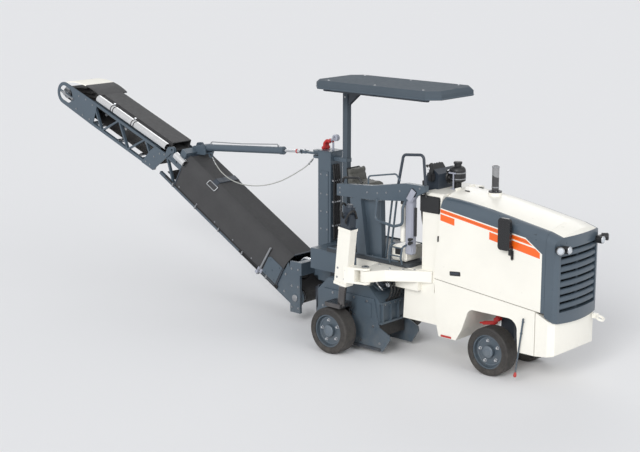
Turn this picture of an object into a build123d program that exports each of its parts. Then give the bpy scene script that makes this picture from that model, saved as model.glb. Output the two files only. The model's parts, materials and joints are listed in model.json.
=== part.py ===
"""Compact wheeled cold planer: front engine, milling drum between the rear wheels, rear loading conveyor.

Millimetres, +X ahead, +Y to the machine's left, +Z up. The origin is on the ground under the middle of
the machine's whole footprint. Places on the machine are counted from the datum under its front axle.
"""

from build123d import *
from math import asin, cos, degrees, pi, radians, sin, tan
import os

os.makedirs("parts", exist_ok=True)

# ---------------------------------------------------------------- datum and clearances
front_axle_x = 3052.889      # front axle ahead of the middle of the footprint
mid_y = 238.14              # body's middle plane, left of the middle of the footprint
fit = 0.3                   # gap between pieces of different bodies that bear on each other
running = 10.0              # gap round pieces that move past each other

# ---------------------------------------------------------------- wheels
wheel_r = 250.0
wheel_w = 183.0
tyre_edge = 22.0
rim_r = 178.0
rim_w = 163.0
rim_dish = 42.0
hub_r = 62.0
stub_r = 30.0
stub_deep = 70.0
rear_axle_x = -1684.0
front_wheel_y = 323.5       # middle of each wheel from the body's middle plane
right_wheel_y = -841.5
left_wheel_y = 345.0

# ---------------------------------------------------------------- front axle
kingpin_y = 178.0
kingpin_r = 18.0
boss_r = 36.0
boss_h = 120.0
ear_t = 22.0
web_t = 16.0
beam_w = 100.0
beam_h = 84.0

# ---------------------------------------------------------------- bodywork
body_half = 391.0
wall = 28.0
skin = 14.0
lower_z = 391.0             # lower edge of the fenders
foot_z = 285.0
well_z = 646.0              # top of the front wheels' arch
fender_rear_x = -1120.0
fender_top_z = 730.0
recess = 25.0               # the rear fender and the cowl stand back from the side by this
gap_rear_x = -708.0         # gap line between the hood and the lower body
gap_rear_z = 895.0
gap_slope = 0.0953
panel_gap = 8.0
seam_x = 548.0
nose_joint_x = 640.0
nose_x = 800.0              # foremost point of the bowed nose
nose_bow = 35.0
nose_corner_x = 740.0       # where the flat side turns into the bevel beside the grille
bevel_y = 345.0
fold_half = 295.0           # crease between the hood's rounded side and its crowned top
side_drop = 112.0           # the flat side ends this far under the crease
crown_rise = 58.0
cowl_rear_x = -880.0
cowl_top_z = 1772.0
hood_lean = 0.102           # the hood's rear edge leans ahead as it rises
hinge_z = 1800.0            # the hood's hinge line
hinge_r = 14.0
grille_half = 318.0
grille_low_z = 785.0
grille_top_z = 1412.0
louvre_count = 8
louvre_gap = 25.0
louvre_deep = 54.0
stack_x = -240.0
stack_seat_z = 1800.0
stack_r = 36.0
stack_top_z = 2072.0
cleaner_x = -745.0
cleaner_y = 40.0
cleaner_r = 84.0
lamp_z = 1418.0
lamp_r = 38.0
mirror_x = 205.0
mirror_out = 66.0           # the mirror stands this far out from the body's side
mirror_z = 1506.0
eye_x = 860.0               # tie-down eye on the bumper
eye_y = 300.0
tie_z = 619.0
eye_r = 30.0
eye_tilt = radians(23.6)    # the eye's axis leans ahead

# ---------------------------------------------------------------- milling gear
housing_front_x = -1262.0
housing_rear_x = -2130.0
housing_right_y = -590.0
housing_left_y = -120.0
housing_top_z = 720.0
housing_low_z = 330.0
plate = 18.0
skid_z = 45.0
skid_nose_x = -1106.0
drum_core_r = 205.0
drum_tip_r = 300.0
drum_z = 388.0
shaft_r = 45.0
chute_end_x = -2490.0
chute_end_z = 385.0
chute_wide = 350.0
chute_end_y = -60.0
chute_near_y = -320.0
chute_near_wide = 360.0
pick_turns = 2
pick_rows = 12

# ---------------------------------------------------------------- rear frame and operator's place
frame_top_z = 958.0
frame_rear_x = -2385.0
frame_right_y = -430.0
deck_z = 1000.0
deck_front_x = -990.0
deck_rear_x = -2130.0
deck_right_y = -450.0
mast_deep = 185.0
mast_wide = 200.0
mast_low_z = 500.0
mast_top_z = 1975.0
post_x = -2235.0
post_size = 65.0
roof_low_z = 2715.0
roof_t = 90.0
roof_front_x = -735.0
roof_rear_x = -2440.0
roof_half = 392.0
roof_corner = 120.0

stand_y = -450.0            # outer face of the arm beside the seat
seat_x = -1945.0
rail_r = 15.0

# ---------------------------------------------------------------- right rear leg
leg_lean = 6.0              # degrees, the leg's top leans ahead
leg_trail = 80.0            # the leg's axis passes ahead of the wheel's axle by this
column_x = 165.0
column_y = 104.0
column_low = 520.0          # along the leg's axis from the axle's height
column_high = 1145.0
leg_r = 42.0
left_tube_in = 60.0         # the left leg's tube stands inside its wheel's middle by this
fork_low = 262.0            # underside of the fork's bridge above the axle
fork_t = 46.0
cheek_t = 24.0
pin_x = -1290.0
pin_y = -790.0
pin_r = 24.0
arm_low_z = 835.0
arm_top_z = 952.0
arm_boss_r = 52.0

# ---------------------------------------------------------------- conveyor
slew_x = -2660.0            # upright axis of the slew pin
slew_r = 28.0
slew_low_z = 530.0
slew_top_z = 730.0
lug_t = 26.0
eye_gap = 18.0              # half the opening between the upper lugs
link_r = 34.0
link_t = 24.0
fork_in = 17.0
fork_out = 30.0
lift_x = -2760.0            # axis of the lift pins and of the tail drum
lift_z = 282.0
lift_r = 24.0
low_angle = 29.5            # slope of the lower section
up_angle = 20.8             # slope of the upper section
low_length = 2640.0         # from the lift pins to the bend
up_length = 1939.0          # from the bend to the head drum
boom_half = 239.0           # half width over the two lattice sides
chord = 36.0
web_bar = 22.0
low_chord_v = -136.0        # lower edge of each section's truss, from the line of its drums
up_chord_v = -154.0
rail_v = 118.0              # underside of the truss's upper chord
panel = 262.0               # half a bay of the lattice
foot_long = 640.0
cheek_x = 150.0
cheek_w = 34.0
sheet = 10.0
low_cover_top = 334.0
up_cover_top = 276.0
cover_shoulder = 157.0
cover_low_v = -90.0
cover_side_top = 160.0      # the cover's sides are upright up to here
low_cover_start = 330.0
low_cover_end = 2282.0
portal_u = 2290.0           # portal over the belt, up the lower section
fold_u = 2516.0             # fold pin, up the lower section from the lift pins
fold_v = 263.0
fold_r = 16.0
head_r = 143.0
drum_r = 70.0
belt_w = 350.0
belt_t = 10.0
side_tube_r = 44.0
side_tube_v = 232.0
cyl_u = 2232.0              # lift cylinder's lower pin on the portal
cyl_v = 473.0
cyl_r = 42.0
rod_r = 17.0
eye_z = 1922.0              # lift cylinder's eye, on the slew axis
barrel_long = 1290.0
bore_from = 500.0           # bottom of the barrel's bore
rod_spare = 100.0           # travel left between the rod and the bottom of the bore
cable_r = 6.0
ring_u = 2129.0             # ring for the safety cable, on the lower section
ring_v = 434.0
ring_r = 34.0

origin = (front_axle_x, mid_y, 0)
deck = Plane(origin=origin)
side = Plane(origin=origin, x_dir=(1, 0, 0), z_dir=(0, -1, 0))
face = Plane(origin=origin, x_dir=(0, 1, 0), z_dir=(1, 0, 0))


def write(part, name):
    """Label a finished piece and write it under its own name."""
    part.label = name
    export_step(part, f"parts/{name}.step")


def at(x, y, z):
    """A place on the machine, in the frame of the whole."""
    return (front_axle_x + x, mid_y + y, z)


# ================================================================ wheels
# name: place of the wheel's middle, and the side its disc faces (-1 right, 1 left)
wheels = {
    "front_right": (0.0, -front_wheel_y, -1),
    "front_left": (0.0, front_wheel_y, 1),
    "rear_right": (rear_axle_x, right_wheel_y, -1),
    "rear_left": (rear_axle_x, left_wheel_y, 1),
}
for name, (x, y, out) in wheels.items():
    centre = at(x, y, wheel_r)
    across = Plane(origin=centre, x_dir=(1, 0, 0), z_dir=(0, 0, 1))
    with BuildPart() as tyre:
        with BuildSketch(across) as ring:
            with Locations(((wheel_r + rim_r) / 2, 0)):
                Rectangle(wheel_r - rim_r, wheel_w)
            fillet(ring.vertices().group_by(Axis.X)[-1], tyre_edge)
        revolve(axis=Axis(centre, (0, 1, 0)))
    write(tyre.part, f"{name}_tyre")

    outward = Plane(origin=centre, x_dir=(1, 0, 0), z_dir=(0, out, 0))
    with BuildPart(outward) as rim:
        Cylinder(rim_r, rim_w)
        with Locations((0, 0, rim_w / 2)):
            Cylinder(rim_r - skin, rim_dish, align=(Align.CENTER, Align.CENTER, Align.MAX), mode=Mode.SUBTRACT)
            Cylinder(hub_r, rim_dish, align=(Align.CENTER, Align.CENTER, Align.MAX))
        with Locations((0, 0, -rim_w / 2)):
            Cylinder(rim_r - skin, rim_dish, align=(Align.CENTER, Align.CENTER, Align.MIN), mode=Mode.SUBTRACT)
            Cylinder(hub_r, rim_dish, align=(Align.CENTER, Align.CENTER, Align.MIN))
            Cylinder(stub_r + fit, stub_deep, align=(Align.CENTER, Align.CENTER, Align.MIN), mode=Mode.SUBTRACT)
    write(rim.part, f"{name}_rim")

# ================================================================ front axle and knuckles
with BuildPart(deck) as front_axle:
    with Locations((0, 0, wheel_r)):
        Box(beam_w, 2 * kingpin_y, beam_h)
    for hand in (-1, 1):
        with Locations((0, hand * kingpin_y, wheel_r)):
            Cylinder(boss_r, boss_h)
            Cylinder(kingpin_r + fit, boss_h, mode=Mode.SUBTRACT)
    with Locations((0, 0, wheel_r + beam_h / 2)):
        Box(1.6 * beam_w, 1.2 * beam_w, well_z - wheel_r - beam_h / 2, align=(Align.CENTER, Align.CENTER, Align.MIN))
write(front_axle.part, "front_axle")

for name, hand in (("knuckle_right", -1), ("knuckle_left", 1)):
    web_y = kingpin_y + boss_r + running / 2
    stub_end = front_wheel_y - rim_w / 2 + stub_deep - 2
    with BuildPart(deck) as knuckle:
        with Locations((0, hand * kingpin_y, wheel_r)):
            Cylinder(kingpin_r, boss_h + 2 * ear_t)
            for up in (-1, 1):
                with Locations((0, 0, up * (boss_h / 2 + ear_t / 2 + fit))):
                    Cylinder(boss_r, ear_t)
                    with Locations((0, hand * (web_y + web_t - kingpin_y) / 2, 0)):
                        Box(2 * boss_r, web_y + web_t - kingpin_y, ear_t)
        with Locations((0, hand * (web_y + web_t / 2), wheel_r)):
            Box(2 * boss_r, web_t, boss_h + 2 * ear_t)
        with Locations((0, hand * (web_y + stub_end) / 2, wheel_r)):
            Cylinder(stub_r, stub_end - web_y, rotation=(90, 0, 0))
    write(knuckle.part, name)

# ================================================================ lower body, bumper and cowl
def gap_z(x):
    """Height of the gap line between the hood and the lower body."""
    return gap_rear_z - gap_slope * (x - gap_rear_x)


fender_x = gap_rear_x + 8
with BuildPart() as chassis:
    with BuildSketch(side):
        with BuildLine():
            arch = Polyline((-411, foot_z), (-338, 412), (-279, 572))
            crown = ThreePointArc(arch @ 1, (-255, 622), (-206, well_z))
            flat = Line(crown @ 1, (215, well_z))
            drop = ThreePointArc(flat @ 1, (295, 620), (335, 520))
            Polyline(drop @ 1, (348, 318), (seam_x - panel_gap, 318), (seam_x - panel_gap, gap_z(seam_x) - panel_gap),
                     (fender_x, gap_z(fender_x) - panel_gap), (-658, lower_z), (-629, foot_z), arch @ 0)
        make_face()
    extrude(amount=body_half, both=True)
    with BuildSketch(side):
        with BuildLine():
            Polyline((fender_rear_x, lower_z), (fender_rear_x + 18, fender_top_z), (fender_x + 60, fender_top_z),
                     (fender_x + 60, lower_z), close=True)
        make_face()
    extrude(amount=body_half - recess, both=True)
    # the tub over the front wheels is open at its top, and the fenders are open below
    floor_z = well_z + wall
    with Locations(at((fender_x + seam_x) / 2, 0, floor_z)):
        Box(seam_x - fender_x - 2 * wall, 2 * (body_half - wall), 400,
            align=(Align.CENTER, Align.CENTER, Align.MIN), mode=Mode.SUBTRACT)
    with Locations(at((fender_rear_x - 411) / 2, 0, well_z)):
        Box(abs(fender_rear_x + 411) - 3 * wall, 2 * (body_half - recess - wall), 600,
            align=(Align.CENTER, Align.CENTER, Align.MAX), mode=Mode.SUBTRACT)
write(chassis.part, "lower_body")

bevel_x = nose_x - nose_bow
bow_r = (bevel_y ** 2 + nose_bow ** 2) / (2 * nose_bow)
with BuildPart() as bumper:
    with BuildSketch(side):
        with BuildLine():
            Polyline((seam_x, 318), (735, 341), (nose_x, 378), (nose_x, 650), (seam_x, 760), close=True)
        make_face()
    extrude(amount=body_half, both=True)
    with BuildSketch(deck) as outline:
        with BuildLine():
            edge = Polyline((bevel_x - 18, -bevel_y), (bevel_x - 78, -body_half), (seam_x - 1, -body_half),
                            (seam_x - 1, body_half), (bevel_x - 78, body_half), (bevel_x - 18, bevel_y))
            ThreePointArc(edge @ 1, (nose_x - 18, 0), edge @ 0)
        make_face()
    extrude(amount=900, mode=Mode.INTERSECT)
    with Locations(at(seam_x + wall, 0, 600)):
        Box(260, 2 * (body_half - wall), 600, align=(Align.MAX, Align.CENTER, Align.CENTER), mode=Mode.SUBTRACT)
    # round tie-down eye ahead of the left corner
    with BuildSketch(Plane(origin=at(eye_x, eye_y, tie_z), x_dir=(0, 1, 0), z_dir=(sin(eye_tilt), 0, cos(eye_tilt)))):
        Circle(eye_r + 18)
    extrude(amount=9, both=True)
    with Locations(at(nose_x - 24, eye_y, tie_z + 17)):
        Box(50, 46, 46, align=(Align.MIN, Align.CENTER, Align.CENTER))
    with BuildSketch(Plane(origin=at(eye_x, eye_y, tie_z), x_dir=(0, 1, 0), z_dir=(sin(eye_tilt), 0, cos(eye_tilt)))):
        Circle(eye_r)
    extrude(amount=60, both=True, mode=Mode.SUBTRACT)
write(bumper.part, "bumper")

frame_low_z = fender_top_z
with BuildPart() as cowl:
    lean_low = gap_rear_x - panel_gap
    lean_top = lean_low + hood_lean * (cowl_top_z - gap_rear_z)
    with BuildSketch(side):
        Polygon((cowl_rear_x, fender_top_z), (lean_low, fender_top_z), (lean_low, gap_rear_z),
                (lean_top, cowl_top_z), (cowl_rear_x, cowl_top_z), align=None)
    extrude(amount=body_half - recess, both=True)
    fillet(cowl.edges().filter_by(Axis.X).group_by(Axis.Z)[-1], 40)
write(cowl.part, "rear_cowl")

# ================================================================ hood, nose, grille and engine
# x ahead, lower edge and height of the crease on each cross-section
hood_sections = [
    (-720.0, gap_z(-720.0), 1748.0),
    (-300.0, gap_z(-300.0), 1725.0),
    (120.0, gap_z(120.0), 1664.0),
    (nose_joint_x, gap_z(nose_joint_x), 1573.0),
]
nose_sections = [
    (nose_joint_x + panel_gap / 4, 735.0, 1573.0),
    (nose_x + 1, 660.0, 1524.0),
]


def body_section(x, low, crease, inset):
    """Cross-section of the hood at x: flat sides, rounded upper sides, a crease and a crowned top."""
    half = body_half - inset
    fold_y = fold_half - inset
    bulge = (half - 0.14 * (half - fold_y), crease - 0.48 * side_drop - inset)
    with BuildSketch(face.offset(x)) as section:
        with BuildLine():
            flats = Polyline((-half, crease - side_drop), (-half, low), (half, low), (half, crease - side_drop))
            left = ThreePointArc(flats @ 1, bulge, (fold_y, crease - inset))
            top = ThreePointArc(left @ 1, (0, crease + crown_rise - inset), (-fold_y, crease - inset))
            ThreePointArc(top @ 1, (-bulge[0], bulge[1]), flats @ 0)
        make_face()
    return section.sketch


with BuildPart() as hood:
    loft([body_section(*row, 0) for row in hood_sections])
    inner = [(x, low - 1, crease) for x, low, crease in hood_sections]
    loft([body_section(*row, skin) for row in inner], mode=Mode.SUBTRACT)
    with BuildSketch(side):
        Polygon((-740, 700), (gap_rear_x, 700), (gap_rear_x, gap_rear_z), (gap_rear_x + hood_lean * 1000, 1895),
                (-740, 1895), align=None)
    extrude(amount=2 * body_half, both=True, mode=Mode.SUBTRACT)
    # seat of the exhaust stack
    with Locations(at(stack_x, 0, stack_seat_z)):
        Cylinder(2 * stack_r, 50, align=(Align.CENTER, Align.CENTER, Align.MAX))
    # hinge barrels on the rear edge
    for y in (-120, 120):
        with Locations(at(gap_rear_x + hood_lean * (hinge_z - gap_rear_z), y, hinge_z)):
            Cylinder(hinge_r, 70, rotation=(90, 0, 0))
write(hood.part, "hood")

with BuildPart() as nose:
    loft([body_section(*row, 0) for row in nose_sections])
    with BuildSketch(deck) as outline:
        with BuildLine():
            edge = Polyline((bevel_x, -bevel_y), (nose_corner_x, -body_half), (nose_joint_x, -body_half),
                            (nose_joint_x, body_half), (nose_corner_x, body_half), (bevel_x, bevel_y))
            ThreePointArc(edge @ 1, (nose_x, 0), edge @ 0)
        make_face()
    extrude(amount=2000, mode=Mode.INTERSECT)
    with Locations(at(nose_x, 0, (grille_low_z + grille_top_z) / 2)):
        Box(400, 2 * grille_half, grille_top_z - grille_low_z, mode=Mode.SUBTRACT)
    with Locations(at(bevel_x - 2 * wall, 0, grille_low_z - wall)):
        Box(200, 2 * (body_half - wall), grille_top_z - grille_low_z + 2 * wall,
            align=(Align.MAX, Align.CENTER, Align.MIN), mode=Mode.SUBTRACT)
write(nose.part, "nose_frame")

louvre_pitch = (grille_top_z - grille_low_z - louvre_gap) / louvre_count
fan = asin((grille_half - 2) / bow_r)
bow_axis = Axis(at(nose_x - bow_r, 0, 0), (0, 0, 1))
fan_start = Plane(origin=at(nose_x - bow_r, 0, 0), x_dir=(cos(fan), -sin(fan), 0), z_dir=(-sin(fan), -cos(fan), 0))
with BuildPart() as grille:
    with BuildSketch(fan_start):
        for row in range(louvre_count):
            low = grille_low_z + louvre_gap + louvre_pitch * row
            high = low + louvre_pitch - louvre_gap
            with BuildLine():
                bow = ThreePointArc((bow_r - louvre_deep, low), (bow_r - 6, low + 0.4 * (high - low)),
                                    (bow_r - 0.7 * louvre_deep, high))
                Polyline(bow @ 1, (bow_r - louvre_deep, high - 6), bow @ 0)
            make_face()
    revolve(axis=bow_axis, revolution_arc=2 * degrees(fan))
    for hand in (-1, 0, 1):
        bar_x = nose_x - louvre_deep - 0.75 * nose_bow * hand ** 2
        with Locations(at(bar_x + 6, hand * (grille_half - fit - 15), grille_low_z + fit)):
            Box(24, 30, grille_top_z - grille_low_z - 2 * fit, align=(Align.MAX, Align.CENTER, Align.MIN))
write(grille.part, "grille")

with BuildPart() as engine:
    with Locations(at(-80, 0, floor_z)):
        Box(900, 520, 760, align=(Align.CENTER, Align.CENTER, Align.MIN))
write(engine.part, "engine_block")

with BuildPart() as exhaust:
    with Locations(at(stack_x, 0, stack_seat_z)):
        Cylinder(1.9 * stack_r, 12, align=(Align.CENTER, Align.CENTER, Align.MIN))
        Cylinder(stack_r, stack_top_z - stack_seat_z, align=(Align.CENTER, Align.CENTER, Align.MIN))
    fillet(exhaust.edges().group_by(Axis.Z)[-1], 12)
    with Locations(at(stack_x, 0, stack_top_z)):
        Cylinder(stack_r - 9, 120, align=(Align.CENTER, Align.CENTER, Align.MAX), mode=Mode.SUBTRACT)
write(exhaust.part, "exhaust_stack")

with BuildPart() as cleaner:
    with BuildSketch(Plane(origin=at(cleaner_x, cleaner_y, 0), x_dir=(1, 0, 0), z_dir=(0, -1, 0))):
        with BuildLine():
            low = Polyline((0, cowl_top_z), (0.5 * cleaner_r, cowl_top_z), (0.5 * cleaner_r, 1830), (cleaner_r, 1850),
                           (cleaner_r, 1950))
            dome = ThreePointArc(low @ 1, (0.82 * cleaner_r, 1990), (0.45 * cleaner_r, 2004))
            Polyline(dome @ 1, (0.45 * cleaner_r, 2050), (0, 2050), (0, cowl_top_z))
        make_face()
    revolve(axis=Axis(at(cleaner_x, cleaner_y, 0), (0, 0, 1)))
write(cleaner.part, "air_cleaner")

with BuildPart() as lamps:
    for hand in (-1, 1):
        with Locations(at(nose_x - 14, hand * bevel_y, lamp_z)):
            Box(24, 108, 66)
        with Locations(at(nose_x - 3, hand * (bevel_y - 42), lamp_z)):
            Cylinder(lamp_r, 56, rotation=(0, 90, 0), align=(Align.CENTER, Align.CENTER, Align.MIN))
        aim = Plane(origin=at(nose_x - 14, hand * (bevel_y + 42), lamp_z + 10), z_dir=(1, hand * 0.9, 0))
        with BuildSketch(aim):
            Circle(lamp_r)
        extrude(amount=62)
    add(nose.part, mode=Mode.SUBTRACT)
write(lamps.part, "front_lamps")

with BuildPart() as mirror:
    with Locations(at(mirror_x, -body_half - mirror_out, mirror_z)):
        Box(140, 36, 320)
    fillet(mirror.edges().filter_by(Axis.Y), 34)
    with Locations(at(mirror_x + 40, -body_half, mirror_z - 215)):
        Box(34, 30, 90, align=(Align.CENTER, Align.MAX, Align.MIN))
        with Locations((0, 0, 60)):
            Box(30, mirror_out, 26, align=(Align.CENTER, Align.MAX, Align.MIN))
write(mirror.part, "mirror")

# ================================================================ milling gear
housing_wide = housing_left_y - housing_right_y
housing_mid_y = (housing_left_y + housing_right_y) / 2
mill = Plane(origin=at(0, housing_mid_y, 0), x_dir=(1, 0, 0), z_dir=(0, -1, 0))
shoulder = 150.0


def housing_outline(inset):
    """Side view of the drum's box, open below."""
    low = housing_low_z - (1 if inset else 0)
    front_x, rear_x, top = housing_front_x - inset, housing_rear_x + inset, housing_top_z - inset
    with BuildSketch(mill) as outline:
        Polygon((front_x, low), (front_x, top - shoulder), (front_x - shoulder, top), (rear_x + shoulder, top),
                (rear_x, top - shoulder), (rear_x, low), align=None)
    return outline.sketch


with BuildPart() as housing:
    extrude(housing_outline(0), amount=housing_wide / 2, both=True)
    extrude(housing_outline(plate), amount=housing_wide / 2 - plate, both=True, mode=Mode.SUBTRACT)
    with Locations(at(rear_axle_x, housing_mid_y, drum_z)):
        Cylinder(shaft_r + running, 2 * housing_wide, rotation=(90, 0, 0), mode=Mode.SUBTRACT)
    # window for the milled material in the rear wall
    with Locations(at(housing_rear_x, housing_mid_y, housing_low_z + 30)):
        Box(4 * plate, housing_wide - 120, 170, align=(Align.CENTER, Align.CENTER, Align.MIN), mode=Mode.SUBTRACT)
    # upright ribs on the front wall
    for row in range(4):
        with Locations(at(housing_front_x, housing_mid_y - 195 + 130 * row, housing_low_z + 20)):
            Box(26, 16, 200, align=(Align.MIN, Align.CENTER, Align.MIN))
    with Locations(at(housing_front_x, housing_mid_y, housing_low_z)):
        Box(34, housing_wide, 20, align=(Align.MIN, Align.CENTER, Align.MIN))
        with Locations((0, 0, 220)):
            Box(34, housing_wide, 16, align=(Align.MIN, Align.CENTER, Align.MIN))
write(housing.part, "drum_housing")

with BuildPart() as skids:
    for inner_y, hand in ((housing_right_y, -1), (housing_left_y, 1)):
        with BuildSketch(side.offset(-inner_y)):
            Polygon((skid_nose_x, 190), (skid_nose_x - 96, skid_z), (housing_rear_x + 40, skid_z),
                    (housing_rear_x - 15, 110), (housing_rear_x - 15, 300), (housing_rear_x + 100, 600),
                    (housing_front_x - 60, 600), (housing_front_x + 6, 300), (skid_nose_x - 10, 235), align=None)
        extrude(amount=-hand * plate)
        with Locations(at(rear_axle_x, inner_y, drum_z)):
            Cylinder(shaft_r + running, 4 * plate, rotation=(90, 0, 0), mode=Mode.SUBTRACT)
write(skids.part, "side_plates")

with BuildPart() as apron:
    with Locations(at(housing_front_x - plate - fit, housing_mid_y, 175)):
        Box(14, housing_wide - 2 * plate - 2 * running, housing_low_z + 60 - 175,
            align=(Align.MAX, Align.CENTER, Align.MIN))
write(apron.part, "front_apron")

# curved blade behind the drum, open in its middle where the milled material leaves
with BuildPart() as scraper:
    bend_z = 600.0
    with BuildSketch(mill):
        with BuildLine():
            outer = ThreePointArc((housing_rear_x - 26, bend_z), (housing_rear_x - 52, 300), (housing_rear_x - 12, 70))
            back = Line(outer @ 1, (housing_rear_x + 4, 70))
            inner_arc = ThreePointArc(back @ 1, (housing_rear_x - 36, 300), (housing_rear_x - 10, bend_z))
            Line(inner_arc @ 1, outer @ 0)
        make_face()
    extrude(amount=housing_wide / 2 - plate - running, both=True)
    with Locations(at(housing_rear_x, housing_mid_y, housing_low_z + 26)):
        Box(200, housing_wide - 110, 178, align=(Align.CENTER, Align.CENTER, Align.MIN), mode=Mode.SUBTRACT)
write(scraper.part, "scraper")

with BuildPart() as chute:
    mouths = []
    for inset in (0, sheet):
        near = Plane(origin=at(housing_rear_x - 62, chute_near_y, housing_low_z + 115), x_dir=(0, 1, 0),
                     z_dir=(-1, 0, 0))
        far = Plane(origin=at(chute_end_x, chute_end_y, chute_end_z), x_dir=(0, 1, 0), z_dir=(-1, 0, 0))
        with BuildSketch(near) as first:
            Rectangle(chute_near_wide - 2 * inset, 190 - 2 * inset)
        with BuildSketch(far) as last:
            Rectangle(chute_wide - 2 * inset, 150 - 2 * inset)
        mouths.append([first.sketch, last.sketch])
    loft(mouths[0])
    loft(mouths[1], mode=Mode.SUBTRACT)
write(chute.part, "chute")

with BuildPart() as drum:
    with Locations(at(rear_axle_x, housing_mid_y, drum_z)):
        Cylinder(drum_core_r, housing_wide - 2 * plate - 4 * running, rotation=(90, 0, 0))
        Cylinder(shaft_r, housing_wide + 2 * plate, rotation=(90, 0, 0))
    drum_wide = housing_wide - 2 * plate - 4 * running - 40
    for row in range(pick_rows):
        for turn in range(pick_turns):
            angle = 360.0 * turn / pick_turns + 360.0 * 0.75 * row / pick_rows
            y = housing_mid_y - drum_wide / 2 + drum_wide * row / (pick_rows - 1)
            foot = Plane(origin=at(rear_axle_x, y, drum_z), x_dir=(0, 1, 0),
                         z_dir=(cos(radians(angle)), 0, sin(radians(angle))))
            with BuildSketch(foot.offset(drum_core_r - 8)):
                Rectangle(34, 60)
            extrude(amount=44, taper=12)
            tool = Plane(origin=foot.offset(drum_core_r + 24).origin, x_dir=(0, 1, 0),
                         z_dir=(cos(radians(angle + 30)), 0, sin(radians(angle + 30))))
            with BuildSketch(tool):
                RegularPolygon(17, 8)
            extrude(amount=66, taper=11)
write(drum.part, "milling_drum")

# ================================================================ rear frame, deck, mast and roof
left_tube_y = left_wheel_y - left_tube_in
cowl_side_y = recess - body_half - fit
with BuildPart() as frame:
    frame_mid_x = (frame_rear_x + cowl_rear_x) / 2
    frame_long = cowl_rear_x - frame_rear_x
    frame_mid_y = (frame_right_y + body_half) / 2
    frame_wide = body_half - frame_right_y
    with Locations(at(frame_mid_x, frame_mid_y, frame_low_z)):
        Box(frame_long, frame_wide, frame_top_z - frame_low_z, align=(Align.CENTER, Align.CENTER, Align.MIN))
        Box(frame_long - 2 * plate, frame_wide - 2 * plate, frame_top_z - frame_low_z - plate,
            align=(Align.CENTER, Align.CENTER, Align.MIN), mode=Mode.SUBTRACT)
    with Locations(at(rear_axle_x + leg_trail, left_tube_y, frame_low_z)):
        Box(leg_r * 3.4, leg_r * 3.4, frame_top_z - frame_low_z, align=(Align.CENTER, Align.CENTER, Align.MIN))
        Cylinder(leg_r + fit, 600, mode=Mode.SUBTRACT)
    # outrigger that carries the swing arm's pin
    with BuildSketch(Plane(origin=at(0, 0, arm_low_z))):
        with BuildLine():
            edge = Polyline((pin_x, pin_y - arm_boss_r), (pin_x + 40, pin_y - arm_boss_r), (-1146, -650), (-866, -450),
                            (-735, cowl_side_y - 20), (-735, cowl_side_y), (cowl_rear_x - 2 * plate, cowl_side_y),
                            (cowl_rear_x - 2 * plate, frame_right_y + plate / 2), (-1410, frame_right_y + plate / 2),
                            (pin_x - arm_boss_r, pin_y))
            ThreePointArc(edge @ 1, (pin_x - 0.7071 * arm_boss_r, pin_y - 0.7071 * arm_boss_r), edge @ 0)
        make_face()
    extrude(amount=arm_top_z - arm_low_z)
    with Locations(at(pin_x, pin_y, (arm_low_z + arm_top_z) / 2)):
        Cylinder(pin_r + fit, 400, mode=Mode.SUBTRACT)
write(frame.part, "rear_frame")

with BuildPart() as deck_plate:
    with Locations(at((deck_front_x + deck_rear_x) / 2, (deck_right_y + body_half) / 2, frame_top_z)):
        Box(deck_front_x - deck_rear_x, body_half - deck_right_y, deck_z - frame_top_z,
            align=(Align.CENTER, Align.CENTER, Align.MIN))
    with Locations(at(rear_axle_x + leg_trail, left_tube_y, frame_top_z)):
        Cylinder(leg_r + running, 200, mode=Mode.SUBTRACT)
    fillet(deck_plate.edges().filter_by(Axis.Z).group_by(Axis.X)[-1], 60)
write(deck_plate.part, "platform")

mast_rear_x = frame_rear_x - mast_deep


def slew_lug(z, bore_r):
    """Lug round the slew axis, from the mast's rear face."""
    with BuildSketch(Plane(origin=at(0, 0, z))) as lug:
        with Locations((slew_x, 0)):
            Circle(2 * slew_r)
        with Locations(((slew_x + mast_rear_x) / 2, 0)):
            Rectangle(mast_rear_x - slew_x + 2, 4 * slew_r)
        with Locations((slew_x, 0)):
            Circle(bore_r, mode=Mode.SUBTRACT)
    extrude(lug.sketch, amount=lug_t)


with BuildPart() as mast:
    with Locations(at(frame_rear_x, 0, mast_low_z)):
        Box(mast_deep, mast_wide, mast_top_z - mast_low_z, align=(Align.MAX, Align.CENTER, Align.MIN))
    slew_lug(slew_low_z, slew_r + fit)
    slew_lug(slew_top_z - lug_t, slew_r + fit)
    slew_lug(eye_z - lug_t - eye_gap, 14)
    slew_lug(eye_z + eye_gap, 14)
write(mast.part, "mast")

with BuildPart() as roof:
    with Locations(at(post_x, 0, deck_z)):
        Box(post_size, post_size, roof_low_z - deck_z + 1, align=(Align.CENTER, Align.CENTER, Align.MIN))
        Box(2.4 * post_size, 2.4 * post_size, 14, align=(Align.CENTER, Align.CENTER, Align.MIN))
    with BuildSketch(Plane(origin=at(0, 0, roof_low_z))) as canopy:
        with Locations(((roof_front_x + roof_rear_x) / 2, 0)):
            Rectangle(roof_front_x - roof_rear_x, 2 * roof_half)
        chamfer(canopy.vertices(), roof_corner)
    extrude(amount=roof_t)
    chamfer(roof.faces().sort_by(Axis.Z)[-1].edges(), 34)
write(roof.part, "roof")

# ================================================================ rear legs and swing arm
def leg_plane(y, lean):
    """Plane across a leg's axis at the height of its axle, its normal up the leg."""
    c, n = cos(radians(lean)), sin(radians(lean))
    return Plane(origin=at(rear_axle_x + leg_trail, y, wheel_r), x_dir=(c, 0, -n), z_dir=(n, 0, c))


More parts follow.
